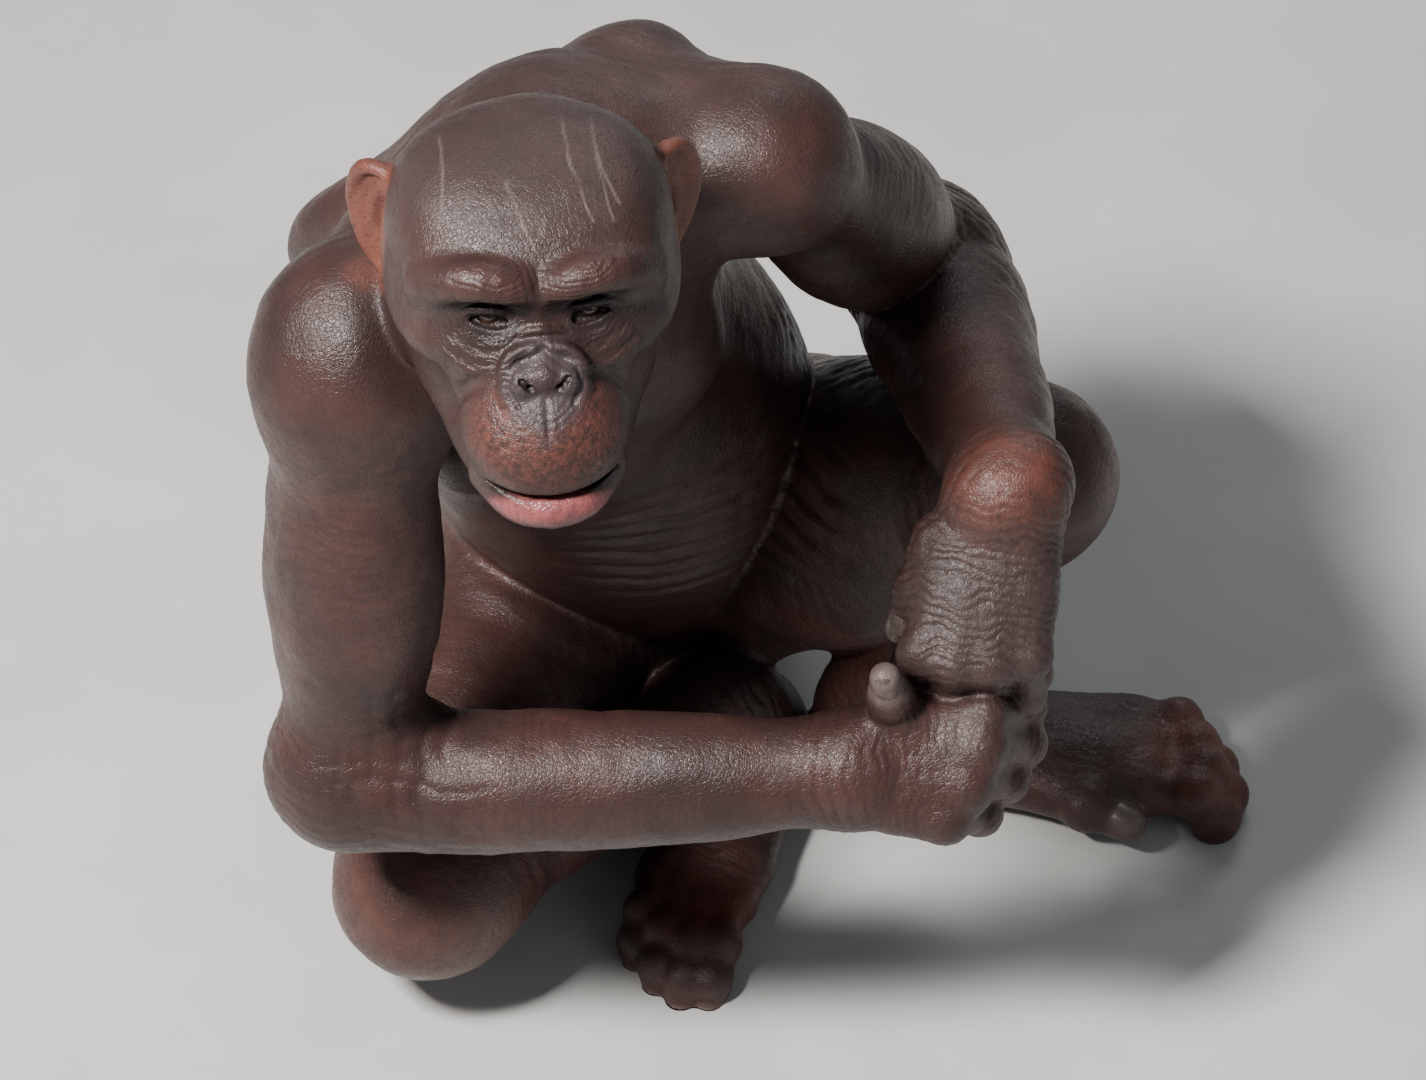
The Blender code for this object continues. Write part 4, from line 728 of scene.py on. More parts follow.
# ---------------------------------------------------------------- a mesh that is finer where more is to be seen
def layered(field, lo, hi, h, level, block=16):
    """Points and faces of the surface. The grid's step is h, h / 2 or h / 4 by block, as level(middle) says."""
    lo = np.asarray(lo, float)
    nb = [int(math.ceil((hi[i] - lo[i]) / (h * block))) for i in range(3)]
    side = h * block
    n4 = [4 * m for m in nb]
    ax = [lo[i] + side / 4 * np.arange(n4[i] + 1) for i in range(3)]
    coarse = np.empty([len(a) for a in ax], np.float32)
    for i in range(0, len(ax[0]), 8):
        for j in range(0, len(ax[1]), 8):
            for k in range(0, len(ax[2]), 8):
                s = (slice(i, i + 8), slice(j, j + 8), slice(k, k + 8))
                X, Y, Z = np.meshgrid(ax[0][s[0]], ax[1][s[1]], ax[2][s[2]], indexing="ij")
                coarse[s] = field(X, Y, Z)
    step = 1 << 12  # room for the coordinates in one key
    lev = np.zeros(nb, np.int64)
    ends, lows, highs, sizes, axes, vals = [], [], [], [], [], []
    for i in range(nb[0]):
        for j in range(nb[1]):
            for k in range(nb[2]):
                part = coarse[4 * i : 4 * i + 5, 4 * j : 4 * j + 5, 4 * k : 4 * k + 5]
                if np.abs(part).min() > side / 4 * 1.9 and (part.min() > 0 or part.max() < 0):
                    continue
                corner = lo + side * np.array([i, j, k])
                L = level(corner + side / 2)
                lev[i, j, k] = L
                m = block << L
                a = [corner[q] + side / m * np.arange(m + 1) for q in range(3)]
                X, Y, Z = np.meshgrid(*a, indexing="ij")
                g = np.empty(X.shape, np.float32)
                for p in range(0, m + 1, 16):
                    for q in range(0, m + 1, 16):
                        for r in range(0, m + 1, 16):
                            s = (slice(p, p + 17), slice(q, q + 17), slice(r, r + 17))
                            g[s] = field(X[s].astype(np.float32), Y[s].astype(np.float32), Z[s].astype(np.float32))
                inside = g < 0
                u = 4 >> L
                base = np.array([i, j, k]) * 4 * block
                for d in range(3):
                    s0 = [slice(None)] * 3
                    s1 = [slice(None)] * 3
                    s0[d], s1[d] = slice(0, -1), slice(1, None)
                    A, B = inside[tuple(s0)], inside[tuple(s1)]
                    e = np.argwhere(A != B)
                    if not len(e):
                        continue
                    va, vb = g[tuple(s0)][tuple(e.T)].astype(float), g[tuple(s1)][tuple(e.T)].astype(float)
                    lows.append(base + e * u)
                    sizes.append(np.full(len(e), u))
                    axes.append(np.full(len(e), d))
                    vals.append(va / (va - vb))
                    ends.append(A[tuple(e.T)])
    p = np.concatenate(lows)
    s = np.concatenate(sizes)
    d = np.concatenate(axes)
    t = np.concatenate(vals)
    out = np.concatenate(ends)
    key = (((p[:, 0] * step + p[:, 1]) * step + p[:, 2]) * 4 + d) * 8 + s
    _, first = np.unique(key, return_index=True)
    p, s, d, t, out = p[first], s[first], d[first], t[first], out[first]
    # the four cells round each edge
    cells, small = [], np.full(len(p), 99)
    U = np.array([1, 2, 0])[d]
    W = np.array([2, 0, 1])[d]
    row = np.arange(len(p))
    for du, dw in ((-1, -1), (0, -1), (0, 0), (-1, 0)):
        q = p.copy()
        q[row, d] += s // 2
        q[row, U] += du
        q[row, W] += dw
        b = np.clip(q // (4 * block), 0, np.array(nb) - 1)
        size = 4 >> lev[tuple(b.T)]
        q = q // size[:, None] * size[:, None]
        small = np.minimum(small, size)
        cells.append(((q[:, 0] * step + q[:, 1]) * step + q[:, 2]) * 8 + size)
    keep = small >= s
    cells = np.stack(cells, 1)[keep]
    p, s, d, t, out = p[keep], s[keep], d[keep], t[keep], out[keep]
    ids, index = np.unique(cells, return_inverse=True)
    index = index.reshape(cells.shape)
    cross = p.astype(float)
    cross[np.arange(len(p)), d] += t * s
    n = np.bincount(index.ravel(), minlength=len(ids))
    verts = np.stack([np.bincount(index.ravel(), np.repeat(cross[:, q], 4), len(ids)) / n for q in range(3)], 1)
    verts = lo + verts * h / 4
    quads = np.where(out[:, None], index, index[:, ::-1])
    return verts, quads


# ---------------------------------------------------------------- noise
def chance(i, j, k, seed):
    n = (i * 73856093) ^ (j * 19349663) ^ (k * 83492791) ^ (seed * 2654435761)
    n = n & 0xFFFFFFFF
    n = ((n ^ (n >> 15)) * 2246822519) & 0xFFFFFFFF
    n = ((n ^ (n >> 13)) * 3266489917) & 0xFFFFFFFF
    return ((n ^ (n >> 16)) & 0xFFFFFF) / float(0xFFFFFF) * 2 - 1


def noise(p, size, seed=0):
    """Smooth noise between -1 and 1 with lumps of the size."""
    q = p / size
    i = np.floor(q).astype(np.int64)
    f = q - i
    f = f * f * (3 - 2 * f)
    out = 0
    for a in (0, 1):
        for b in (0, 1):
            for c in (0, 1):
                w = (f[:, 0] if a else 1 - f[:, 0]) * (f[:, 1] if b else 1 - f[:, 1]) * (f[:, 2] if c else 1 - f[:, 2])
                out = out + w * chance(i[:, 0] + a, i[:, 1] + b, i[:, 2] + c, seed)
    return out


def creases(t, length, wander, sharp=2.0):
    """Rows of narrow grooves along t, 0 on the skin between and 1 in a groove."""
    a = 0.5 + 0.5 * np.cos((t / length + wander) * 2 * math.pi)
    return a**sharp


def bump(r, inner, outer):
    return 1 - smooth01((r - inner) / (outer - inner))


def dist(p, c):
    return np.linalg.norm(p - np.asarray(c, float), axis=1)


def from_line(p, a, b):
    """Distance from the stretch a to b, and the place along it from 0 to 1."""
    a, b = np.asarray(a, float), np.asarray(b, float)
    ab = b - a
    t = np.clip((p - a) @ ab / (ab @ ab), 0, 1)
    return np.linalg.norm(p - a - t[:, None] * ab, axis=1), t


# ---------------------------------------------------------------- the skin
FACE_MID = HEAD + vec(0, -0.085, -0.025) @ HEAD_AXES
HAND_MID = [WRIST_L + vec(-0.01, -0.05, -0.05), WRIST_R + vec(0.06, 0, 0)]
FOOT_MID = [vec(0.20, -0.20, 0.03), vec(0.02, -0.25, 0.03)]
STEP = 0.0024


def level(c):
    if np.linalg.norm((c - FACE_MID) @ HEAD_AXES.T / vec(0.070, 0.060, 0.088)) < 1.05:
        return 2
    if np.linalg.norm(c - HEAD) < 0.125 or min(np.linalg.norm(c - m) for m in HAND_MID + FOOT_MID) < 0.10:
        return 1
    return 0


verts, quads = layered(body, vec(-0.28, -0.55, -0.02), vec(0.35, 0.09, 0.72), STEP, level)
normal, gap_ = slope(body, verts)
verts = verts - np.clip(gap_ / np.maximum((normal**2).sum(1), 0.25), -STEP * 0.5, STEP * 0.5)[:, None] * normal
normal /= np.maximum(np.linalg.norm(normal, axis=1, keepdims=True), 1e-9)

# places on the skin, in the head's own axes too
H = (verts - HEAD) @ HEAD_AXES.T
hx, hy, hz = H[:, 0], H[:, 1], H[:, 2]
on_head = bump(np.linalg.norm(H - vec(0, -0.05, -0.02), axis=1), 0.095, 0.125) * smooth01((0.03 - hy) / 0.02)
front = smooth01((-hy - 0.055) / 0.03) * on_head
ax_ = np.abs(hx)
eye_r = np.linalg.norm(np.stack([ax_ - 0.0248, (hy + 0.0910), (hz - 0.0080)], 1) * vec(0.8, 0.6, 1.0), axis=1)
around_eyes = bump(eye_r, 0.006, 0.022) * front
brow = bump(np.linalg.norm(np.stack([(ax_ - 0.026) * 0.55, (hy + 0.100) * 0.8, hz - 0.033], 1), axis=1), 0.008, 0.022) * front
forehead = front * smooth01((hz - 0.036) / 0.012) * smooth01((0.085 - hz) / 0.03)
muzzle = bump(np.linalg.norm(np.stack([hx * 0.95, (hy + 0.112) * 0.8, (hz + 0.046) * 1.25], 1), axis=1), 0.030, 0.044) * on_head
nose = bump(np.linalg.norm(np.stack([hx, (hy + 0.114) * 0.6, hz + 0.016], 1), axis=1), 0.015, 0.026) * on_head
lip_low = bump(np.linalg.norm(np.stack([hx * 0.33, (hy + 0.122) * 0.45, hz + 0.0820], 1), axis=1), 0.0075, 0.0115) * on_head * smooth01((-0.0705 - hz) / 0.002)
upper_lip_shade = bump(np.abs(hz + 0.0700), 0.0015, 0.0060) * bump(ax_, 0.030, 0.038) * smooth01((-hy - 0.100) / 0.01) * on_head

n1, n2, n3 = (noise(verts, s, 7 + i) for i, s in enumerate((0.030, 0.012, 0.0055)))
n4 = noise(verts, 0.0028, 31)
deep = np.zeros(len(verts))  # how far the skin sinks, in metres
groove = np.zeros(len(verts))  # 0 to 1, how far painted shade darkens the colour in each crease

# lumps of fat, muscle and slack skin
deep += 0.0010 * n1 * (1 - 0.7 * on_head) + 0.00045 * n2 * (1 - 0.5 * on_head) + 0.00016 * n3 + 0.00007 * n4


def wrinkle(t, length, wander, mask, depth, sharp=2.0):
    global deep, groove
    c = creases(t, length, wander, sharp) * np.clip(mask, 0, 1)
    deep = deep + depth * c
    # painted shade: the crease also darkens the skin's colour
    groove = np.maximum(groove, c)


# forehead and brow
wrinkle(hz + 0.3 * hx**2 / 0.05, 0.0052, 0.9 * n1 + 0.35 * n2, forehead * (0.55 + 0.45 * n2), 0.00030)
wrinkle(hz - 0.15 * ax_ + 0.0 * hx, 0.0030, 0.8 * n2 + 0.25 * n3, brow * (0.7 + 0.3 * n2), 0.00042)
wrinkle(hx + 0.25 * hz, 0.0042, 0.7 * n2, brow * bump(ax_, 0.006, 0.016), 0.00030)
# round the eyes: rings below them, fine crossing lines
ring = np.hypot((ax_ - 0.0248) * 0.8, hz - 0.0090)
wrinkle(ring + 0.10 * ax_, 0.0034, 0.75 * n2 + 0.40 * n3, bump(np.abs(ring - 0.017), 0.006, 0.013) * front * smooth01((0.012 - hz) / 0.006) * (0.75 + 0.45 * n3), 0.00036)
wrinkle(hx * np.sign(hx) - 0.6 * hz, 0.0026, 0.5 * n2 + 0.4 * n3, around_eyes * smooth01((0.004 - hz) / 0.01) * 0.8, 0.00022)
# nose, cheeks and lips
wrinkle(np.hypot(hx, hz + 0.014), 0.0034, 0.3 * n2, nose * bump(np.abs(np.hypot(hx, hz + 0.014) - 0.021), 0.004, 0.010), 0.00025)
wrinkle(hx, 0.0030, 0.6 * n2 + 0.3 * n3, bump(np.abs(hz + 0.060), 0.006, 0.014) * muzzle, 0.00016)
wrinkle(hx, 0.0034, 0.5 * n2, lip_low, 0.00022)
deep += muzzle * (0.00016 * np.maximum(0, noise(verts, 0.0032, 71)) ** 2 * 3)


def bands(a, b, place, spread, girth, length, depth, wander=0.6, side=None, sharp=2.0):
    """Creases across a limb from a to b, round the place on it."""
    u = unit(np.asarray(b, float) - np.asarray(a, float))
    t = (verts - place) @ u
    r, _ = from_line(verts, a, b)
    m = bump(np.abs(t), spread * 0.3, spread) * bump(r, girth, girth * 1.3)
    if side is not None:
        m = m * smooth01(0.5 + 1.2 * (normal @ unit(side)))
    wrinkle(t, length, wander * n1 + 0.35 * n2 + 0.1 * n3, m * (0.75 + 0.35 * n2), depth, sharp)


for s, e, w, k in ((SHOULDER_R, ELBOW_R, WRIST_R, "r"), (SHOULDER_L, ELBOW_L, WRIST_L, "l")):
    inner = unit(unit(s - e) + unit(w - e))
    bands(s, e, e - unit(e - s) * 0.03, 0.075, 0.075, 0.0120, 0.0011, 0.7, inner)
    bands(e, w, e + unit(w - e) * 0.02, 0.060, 0.075, 0.0110, 0.0010, 0.7, inner)
    bands(s, e, e, 0.055, 0.080, 0.0075, 0.0007, 0.9, -inner)
    bands(e, w, w, 0.035, 0.060, 0.0080, 0.0004 if k == "r" else 0.0009, 0.9)
    bands(e, w, mix(e, w, 0.5), 0.12, 0.060, 0.0060, 0.00022, 1.0)
    bands(s, e, mix(s, e, 0.35), 0.13, 0.080, 0.0070, 0.00025, 1.2)
for h, k, a in ((HIP_R, KNEE_R, ANKLE_R), (HIP_L, KNEE_L, ANKLE_L)):
    inner = unit(unit(h - k) + unit(a - k))
    bands(h, k, k - unit(k - h) * 0.03, 0.060, 0.085, 0.0110, 0.0011, 0.6, inner)
    bands(h, k, k, 0.050, 0.085, 0.0060, 0.0005, 0.9, -inner)
    bands(k, a, a, 0.035, 0.050, 0.0080, 0.0008, 0.5)
    bands(h, k, mix(h, k, 0.5), 0.13, 0.100, 0.0080, 0.00025, 1.2)
# hands: across the back and the knuckles
for w, m, deeper in ((WRIST_L, HAND_MID[0], 0.00070), (WRIST_R, HAND_MID[1], 0.00030)):
    u = unit(m - w)
    near_hand = bump(dist(verts, w + u * 0.055), 0.045, 0.075)
    wrinkle((verts - w) @ u, 0.0058, 0.9 * n2 + 0.35 * n3, near_hand * (0.8 + 0.5 * n2), deeper)
    wrinkle(verts @ unit(np.cross(u, vec(0.2, 1, 0.3))), 0.0060, 0.8 * n2 + 0.3 * n3, near_hand * 0.5, 0.00025)
for pts, axis in NAILS:
    for i in range(1, len(pts) - 1):
        c = np.array(pts[i][:3])
        u = unit(np.array(pts[i + 1][:3]) - np.array(pts[i - 1][:3]))
        m = bump(dist(verts, c), pts[i][3] * 0.9, pts[i][3] * 1.6)
        wrinkle((verts - c) @ u, 0.0027, 0.3 * n3, m, 0.00035)
# folds of the belly and of the side, and lines of the sole and foot
b = (verts - PELVIS) @ aim(24, -6).T
belly = bump(np.linalg.norm((b - vec(-0.008, -0.12, 0.130)) / vec(0.10, 0.07, 0.075), axis=1), 0.5, 1.1)
wrinkle(b[:, 2] + 0.06 * b[:, 0], 0.0150, 0.35 * n1 + 0.12 * n2, belly, 0.0022, 3.0)
wrinkle(b[:, 2], 0.0062, 0.8 * n1 + 0.3 * n2, belly, 0.0004)
for m in FOOT_MID:
    near_foot = bump(dist(verts, m), 0.05, 0.10)
    wrinkle(verts @ unit(vec(0.3, 0.9, 0.1)), 0.0065, 0.8 * n2 + 0.3 * n3, near_foot * (0.6 + 0.4 * n2), 0.00035)
# the back: long shallow lines across it
T = frame_of(NECK - PELVIS, SHOULDER_L - SHOULDER_R)
back = smooth01(0.2 + normal @ T[1]) * (1 - on_head)
wrinkle((verts - CHEST) @ T[2], 0.0130, 1.1 * n1 + 0.3 * n2, back * (0.5 + 0.5 * n1), 0.00045)

deep[verts[:, 2] < 0.004] *= 0.2
verts = verts - normal * deep[:, None]
verts[:, 2] = np.maximum(verts[:, 2], 0.0002)

# ---------------------------------------------------------------- where the skin is red, blue, pink, dark or pale, and where shade is painted on it
spots = noise(verts, 0.0075, 91)
fine_spots = noise(verts, 0.0030, 97)


def near_point(c, a, b):
    return bump(dist(verts, c), a, b)


red = (0.22 + 0.25 * n1) * (1 - 0.6 * on_head)
orange = np.zeros(len(verts))
for c, a, b_, k in (
    (KNEE_R, 0.035, 0.085, 1.0), (KNEE_L, 0.030, 0.075, 0.7), (WRIST_L + vec(0, -0.02, 0.02), 0.02, 0.055, 0.85),
    (ELBOW_R, 0.02, 0.07, 0.25), (vec(0.29, -0.20, 0.03), 0.025, 0.065, 1.1), (vec(-0.004, -0.315, 0.02), 0.02, 0.055, 1.2),
    (mix(SHOULDER_R, ELBOW_R, 0.2), 0.03, 0.11, 0.5), (mix(SHOULDER_L, ELBOW_L, 0.95), 0.03, 0.10, 0.25), (WRIST_R, 0.02, 0.07, 0.15),
):
    red = np.maximum(red, k * near_point(c, a, b_) * (0.75 + 0.25 * spots))
for s in (-1, 1):
    c = HEAD + vec(0.078 * s, 0.012, 0.004) @ HEAD_AXES
    ear_ = near_point(c, 0.032, 0.046) * smooth01((ax_ - 0.062) / 0.006)
    red = np.maximum(red, ear_)
    orange = np.maximum(orange, 0.50 * ear_ * (0.55 + 0.45 * n2))
red = np.maximum(red, muzzle * 0.90 * (1 - 0.9 * nose))
orange = np.maximum(orange, muzzle * 0.14 * (1 - 0.9 * nose) * (0.5 + 0.5 * n2))
red = np.maximum(red, brow * 0.32)
# more orange on the toes, knees and left wrist; on the toes part of it is painted light that brightens them out of the
# arms' shadow
for c, a, b_, k in ((vec(0.285, -0.215, 0.03), 0.025, 0.060, 0.40), (vec(-0.006, -0.325, 0.015), 0.012, 0.045, 0.40), (KNEE_R, 0.030, 0.075, 0.22), (WRIST_L + vec(0, -0.02, 0.02), 0.02, 0.055, 0.20), (KNEE_L, 0.03, 0.07, 0.12)):
    orange = np.maximum(orange, k * near_point(c, a, b_) * (0.6 + 0.4 * spots))
blue = np.clip(nose * 1.1 - 0.75 * bump(np.linalg.norm(np.stack([hx, hz + 0.0125], 1), axis=1), 0.005, 0.010) * on_head, 0, 1)
blue = np.maximum(blue, 0.35 * bump(np.abs(hx), 0.002, 0.010) * bump(np.abs(hz + 0.030), 0.008, 0.014) * front)
pink = lip_low
freckle = muzzle * (1 - nose)
# painted shade: the eye sockets and the upper lip's edge at the mouth darkened where shade falls
dark = np.clip(around_eyes * 0.9 * smooth01((0.020 - hz) / 0.01) + 0.7 * upper_lip_shade, 0, 1)
# painted shade along the slit of the mouth
mouth_slit_shade = bump(np.abs(hz + 0.0725), 0.0012, 0.0028) * bump(ax_, 0.030, 0.034) * smooth01((hy + 0.1285 + 0.0) / 0.002) * smooth01((-hy - 0.095) / 0.004) * on_head
dark = np.maximum(dark, mouth_slit_shade)
# painted shadow of the brow: a dark band beneath it across the eyes
hollow = bump(np.abs(hz - 0.0185 - 0.04 * ax_), 0.0045, 0.0085) * bump(np.abs(ax_ - 0.026), 0.017, 0.026) * front
dark = np.maximum(dark, hollow)
# darker skin under the eyes, with painted shade of the sockets
dark = np.maximum(dark, 0.50 * bump(ring, 0.012, 0.030) * front * smooth01((0.022 - hz) / 0.01) * (1 - nose))
# painted shade on the muzzle's underside, broken by darker spots of skin
dark = np.maximum(dark, 0.55 * muzzle * smooth01((-0.052 - hz) / 0.012) * (0.5 + 0.5 * n3) * (1 - lip_low))
# painted shade in the nostrils' slits
nostril_shade_line = [np.array([0.0024, -0.1225, -0.0205]), np.array([0.0118, -0.1180, -0.0115])]
q, t = from_line(np.stack([ax_, hy, hz], 1), *nostril_shade_line)
dark = np.maximum(dark, bump(q, 0.0018, 0.0030) * on_head)
grey = np.maximum(bump(dist(verts, WRIST_L + vec(-0.01, -0.05, -0.05)), 0.03, 0.08) * 0.9, bump(dist(verts, mix(CHEST, NECK, 0.8) + vec(0, 0.08, 0.03)), 0.05, 0.16) * 0.5)
grey = np.maximum(grey, on_head * smooth01((hz - 0.040) / 0.02) * 0.65)
pale = np.zeros(len(verts))
for pts, axis in NAILS:
    tip = np.array(pts[-1][:3])
    pale = np.maximum(pale, 0.35 * near_point(tip, pts[-1][3] * 0.8, pts[-1][3] * 1.5))
tip = np.array(NAILS[5][0][-1][:3])
pale = np.maximum(pale, 0.45 * near_point(tip, 0.010, 0.020))
# thin pale scars on the scalp
for a, b_ in (((0.018, 0.075), (0.030, 0.052)), ((0.026, 0.082), (0.044, 0.055)), ((-0.012, 0.066), (0.000, 0.045)), ((-0.040, 0.078), (-0.046, 0.055)), ((0.034, 0.070), (0.040, 0.050))):
    q, t = from_line(np.stack([hx + 0.0008 * n2, hz, hz * 0], 1), (*a, 0), (*b_, 0))
    scar = bump(q, 0.0002, 0.0009) * on_head * smooth01((-hy + 0.00) / 0.02) * (0.6 + 0.4 * n2)
    pale = np.maximum(pale, 0.42 * scar)

verts += SHIFT
me = bpy.data.meshes.new("skin")
tri = (quads == np.roll(quads, 1, axis=1)).any(1)
faces = quads[~tri].tolist()
for q in quads[tri].tolist():
    f = [a for i, a in enumerate(q) if a != q[i - 1]]
    if len(set(f)) == 3 and len(f) == 3:
        faces.append(f)
me.from_pydata(verts.tolist(), [], faces)
me.validate()
me.update()
me.shade_smooth()
skin = bpy.data.objects.new("skin", me)
bpy.context.scene.collection.objects.link(skin)
for name, value in (("red", red), ("blue", blue), ("pink", pink), ("dark", dark), ("pale", pale), ("freckle", freckle), ("groove", groove), ("grey", grey), ("orange", orange)):
    at = me.attributes.new(name, "FLOAT", "POINT")
    at.data.foreach_set("value", np.clip(value, 0, 1.5).astype(np.float32))


# ---------------------------------------------------------------- materials
class Nodes:
    """A short way to write down a material's nodes."""

    def __init__(self, name):
        self.mat = bpy.data.materials.new(name)
        self.mat.use_nodes = True
        self.t = self.mat.node_tree
        self.out = self.t.nodes["Principled BSDF"]
        self.where = self("ShaderNodeTexCoord").outputs["Object"]

    def __call__(self, kind, ins=(), **sets):
        n = self.t.nodes.new(kind)
        for k, v in sets.items():
            setattr(n, k, v)
        for k, v in dict(ins).items():
            if isinstance(v, bpy.types.NodeSocket):
                self.t.links.new(v, n.inputs[k])
            else:
                n.inputs[k].default_value = v
        return n

    def attribute(self, name):
        return self("ShaderNodeAttribute", attribute_name=name).outputs["Fac"]

    def noise(self, scale, detail=3.0, rough=0.55, stretch=None):
        where = self.where
        if stretch:
            where = self("ShaderNodeMapping", {"Vector": where, "Scale": stretch}).outputs[0]
        return self("ShaderNodeTexNoise", {"Vector": where, "Scale": scale, "Detail": detail, "Roughness": rough}).outputs["Fac"]

    def cells(self, scale, feature="DISTANCE_TO_EDGE"):
        return self("ShaderNodeTexVoronoi", {"Vector": self.where, "Scale": scale}, feature=feature).outputs["Distance"]

    def span(self, v, a, b, c=0.0, d=1.0):
        return self("ShaderNodeMapRange", {"Value": v, "From Min": a, "From Max": b, "To Min": c, "To Max": d}, clamp=True).outputs[0]

    def maths(self, how, a, b):
        return self("ShaderNodeMath", {0: a, 1: b}, operation=how).outputs[0]

    def mix(self, share, a, b):
        n = self.t.nodes.new("ShaderNodeMix")
        n.data_type = "RGBA"
        n.clamp_factor = True
        for i, v in ((0, share), (6, a), (7, b)):
            if isinstance(v, bpy.types.NodeSocket):
                self.t.links.new(v, n.inputs[i])
            elif i == 0:
                n.inputs[0].default_value = v
            else:
                n.inputs[i].default_value = (*v, 1)
        return n.outputs[2]

    def finish(self, **ins):
        for k, v in ins.items():
            k = k.replace("_", " ")
            if isinstance(v, bpy.types.NodeSocket):
                self.t.links.new(v, self.out.inputs[k])
            else:
                self.out.inputs[k].default_value = v
        return self.mat


def skin_material():
    m = Nodes("bare_skin")
    broad = m.noise(9.0, 4.0, 0.6)
    blotch = m.noise(42.0, 4.0, 0.65)
    fine = m.noise(420.0, 3.0, 0.6)
    grain = m.noise(1500.0, 2.0, 0.6)
    plates = m.cells(330.0)
    pores = m.cells(760.0)
    cracks = m.span(plates, 0.0, 0.15)
    dots = m.span(pores, 0.0, 0.16)
    base = m.mix(m.span(broad, 0.35, 0.65), (0.024, 0.0125, 0.0118), (0.046, 0.0245, 0.0225))
    base = m.mix(m.span(blotch, 0.42, 0.66, 0.0, 0.60), base, (0.017, 0.0095, 0.0095))
    redder = m.maths("MULTIPLY", m.attribute("red"), m.span(blotch, 0.25, 0.65, 1.0, 0.62))
    base = m.mix(redder, base, (0.120, 0.040, 0.030))
    # orange skin on the ears, muzzle, knees and wrist; on the toes partly painted light
    base = m.mix(m.attribute("orange"), base, (0.260, 0.082, 0.050))
    base = m.mix(m.maths("MULTIPLY", m.attribute("grey"), 0.55), base, (0.052, 0.040, 0.039))
    # dark speckles and pale grains
    base = m.mix(m.span(fine, 0.54, 0.68, 0.0, 0.50), base, (0.014, 0.008, 0.008))
    base = m.mix(m.span(grain, 0.60, 0.72, 0.0, 0.30), base, (0.10, 0.062, 0.056))
    base = m.mix(m.span(dots, 0.0, 1.0, 0.22, 0.0), base, (0.030, 0.016, 0.014))
    speck = m.noise(260.0, 5.0, 0.75)
    freckles = m.maths("MULTIPLY", m.attribute("freckle"), m.span(speck, 0.42, 0.58, 0.0, 0.80))
    base = m.mix(freckles, base, (0.026, 0.014, 0.013))
    base = m.mix(m.maths("MULTIPLY", m.attribute("blue"), m.span(blotch, 0.25, 0.7, 0.92, 0.6)), base, (0.055, 0.043, 0.048))
    # painted shade: eye sockets, brow shadow, mouth slit, nostrils and the muzzle's underside darkened, with some
    # darker skin
    base = m.mix(m.maths("MULTIPLY", m.attribute("dark"), 0.85), base, (0.012, 0.007, 0.0065))
    lip = m.mix(m.span(m.noise(160.0, 4.0, 0.7), 0.35, 0.7), (0.46, 0.120, 0.120), (0.22, 0.070, 0.078))
    lip = m.mix(m.span(speck, 0.58, 0.64, 0.0, 0.6), lip, (0.16, 0.06, 0.06))
    base = m.mix(m.attribute("pink"), base, lip)
    base = m.mix(m.attribute("pale"), base, (0.26, 0.20, 0.19))
    # painted shade in the creases
    base = m.mix(m.maths("MULTIPLY", m.attribute("groove"), 0.45), base, (0.024, 0.012, 0.011))
    rough = m.span(blotch, 0.30, 0.70, 0.31, 0.46)
    rough = m.maths("ADD", rough, m.span(fine, 0.35, 0.70, -0.05, 0.10))
    rough = m.maths("SUBTRACT", rough, m.maths("MULTIPLY", m.attribute("pink"), 0.28))
    rough = m.maths("ADD", rough, m.maths("MULTIPLY", m.attribute("grey"), 0.06))
    height = m.maths("MULTIPLY", cracks, 0.30)
    height = m.maths("ADD", height, m.maths("MULTIPLY", dots, 0.16))
    height = m.maths("ADD", height, m.maths("MULTIPLY", fine, 0.55))
    height = m.maths("ADD", height, m.maths("MULTIPLY", grain, 0.08))
    normal_ = m("ShaderNodeBump", {"Strength": 0.70, "Distance": 0.00055, "Height": height}).outputs[0]
    return m.finish(Base_Color=base, Roughness=rough, Normal=normal_, Metallic=0.0, IOR=1.42)


def nail_material():
    m = Nodes("nail")
    lines = m.noise(900.0, 2.0, 0.5, (1.0, 1.0, 0.25))
    base = m.mix(m.span(m.noise(180.0, 3.0), 0.35, 0.65), (0.070, 0.052, 0.045), (0.150, 0.115, 0.098))
    base = m.mix(m.span(lines, 0.45, 0.65, 0.0, 0.4), base, (0.045, 0.032, 0.028))
    bump_ = m("ShaderNodeBump", {"Strength": 0.4, "Distance": 0.0003, "Height": lines}).outputs[0]
    return m.finish(Base_Color=base, Roughness=m.span(lines, 0.3, 0.7, 0.28, 0.45), Normal=bump_, Metallic=0.0)


def eye_material():
    m = Nodes("eye")
    off = m.attribute("off_axis")  # angle from the pupil's middle, in degrees
    fibres = m.attribute("fibre")
    iris = m.mix(fibres, (0.018, 0.008, 0.004), (0.060, 0.026, 0.012))
    base = m.mix(m.span(off, 8.5, 10.0), (0.002, 0.002, 0.002), iris)
    base = m.mix(m.span(off, 27.0, 32.0), base, (0.012, 0.006, 0.005))
    white = m.mix(m.span(m.noise(500.0, 4.0, 0.7), 0.4, 0.65), (0.095, 0.055, 0.045), (0.190, 0.130, 0.110))
    base = m.mix(m.span(off, 33.0, 38.0), base, white)
    return m.finish(Base_Color=base, Roughness=m.span(off, 30.0, 40.0, 0.06, 0.16), Metallic=0.0, Coat_Weight=1.0, Coat_Roughness=0.03)


skin.data.materials.append(skin_material())
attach(skin, "root")
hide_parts(*[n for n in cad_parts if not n.startswith("eye")])

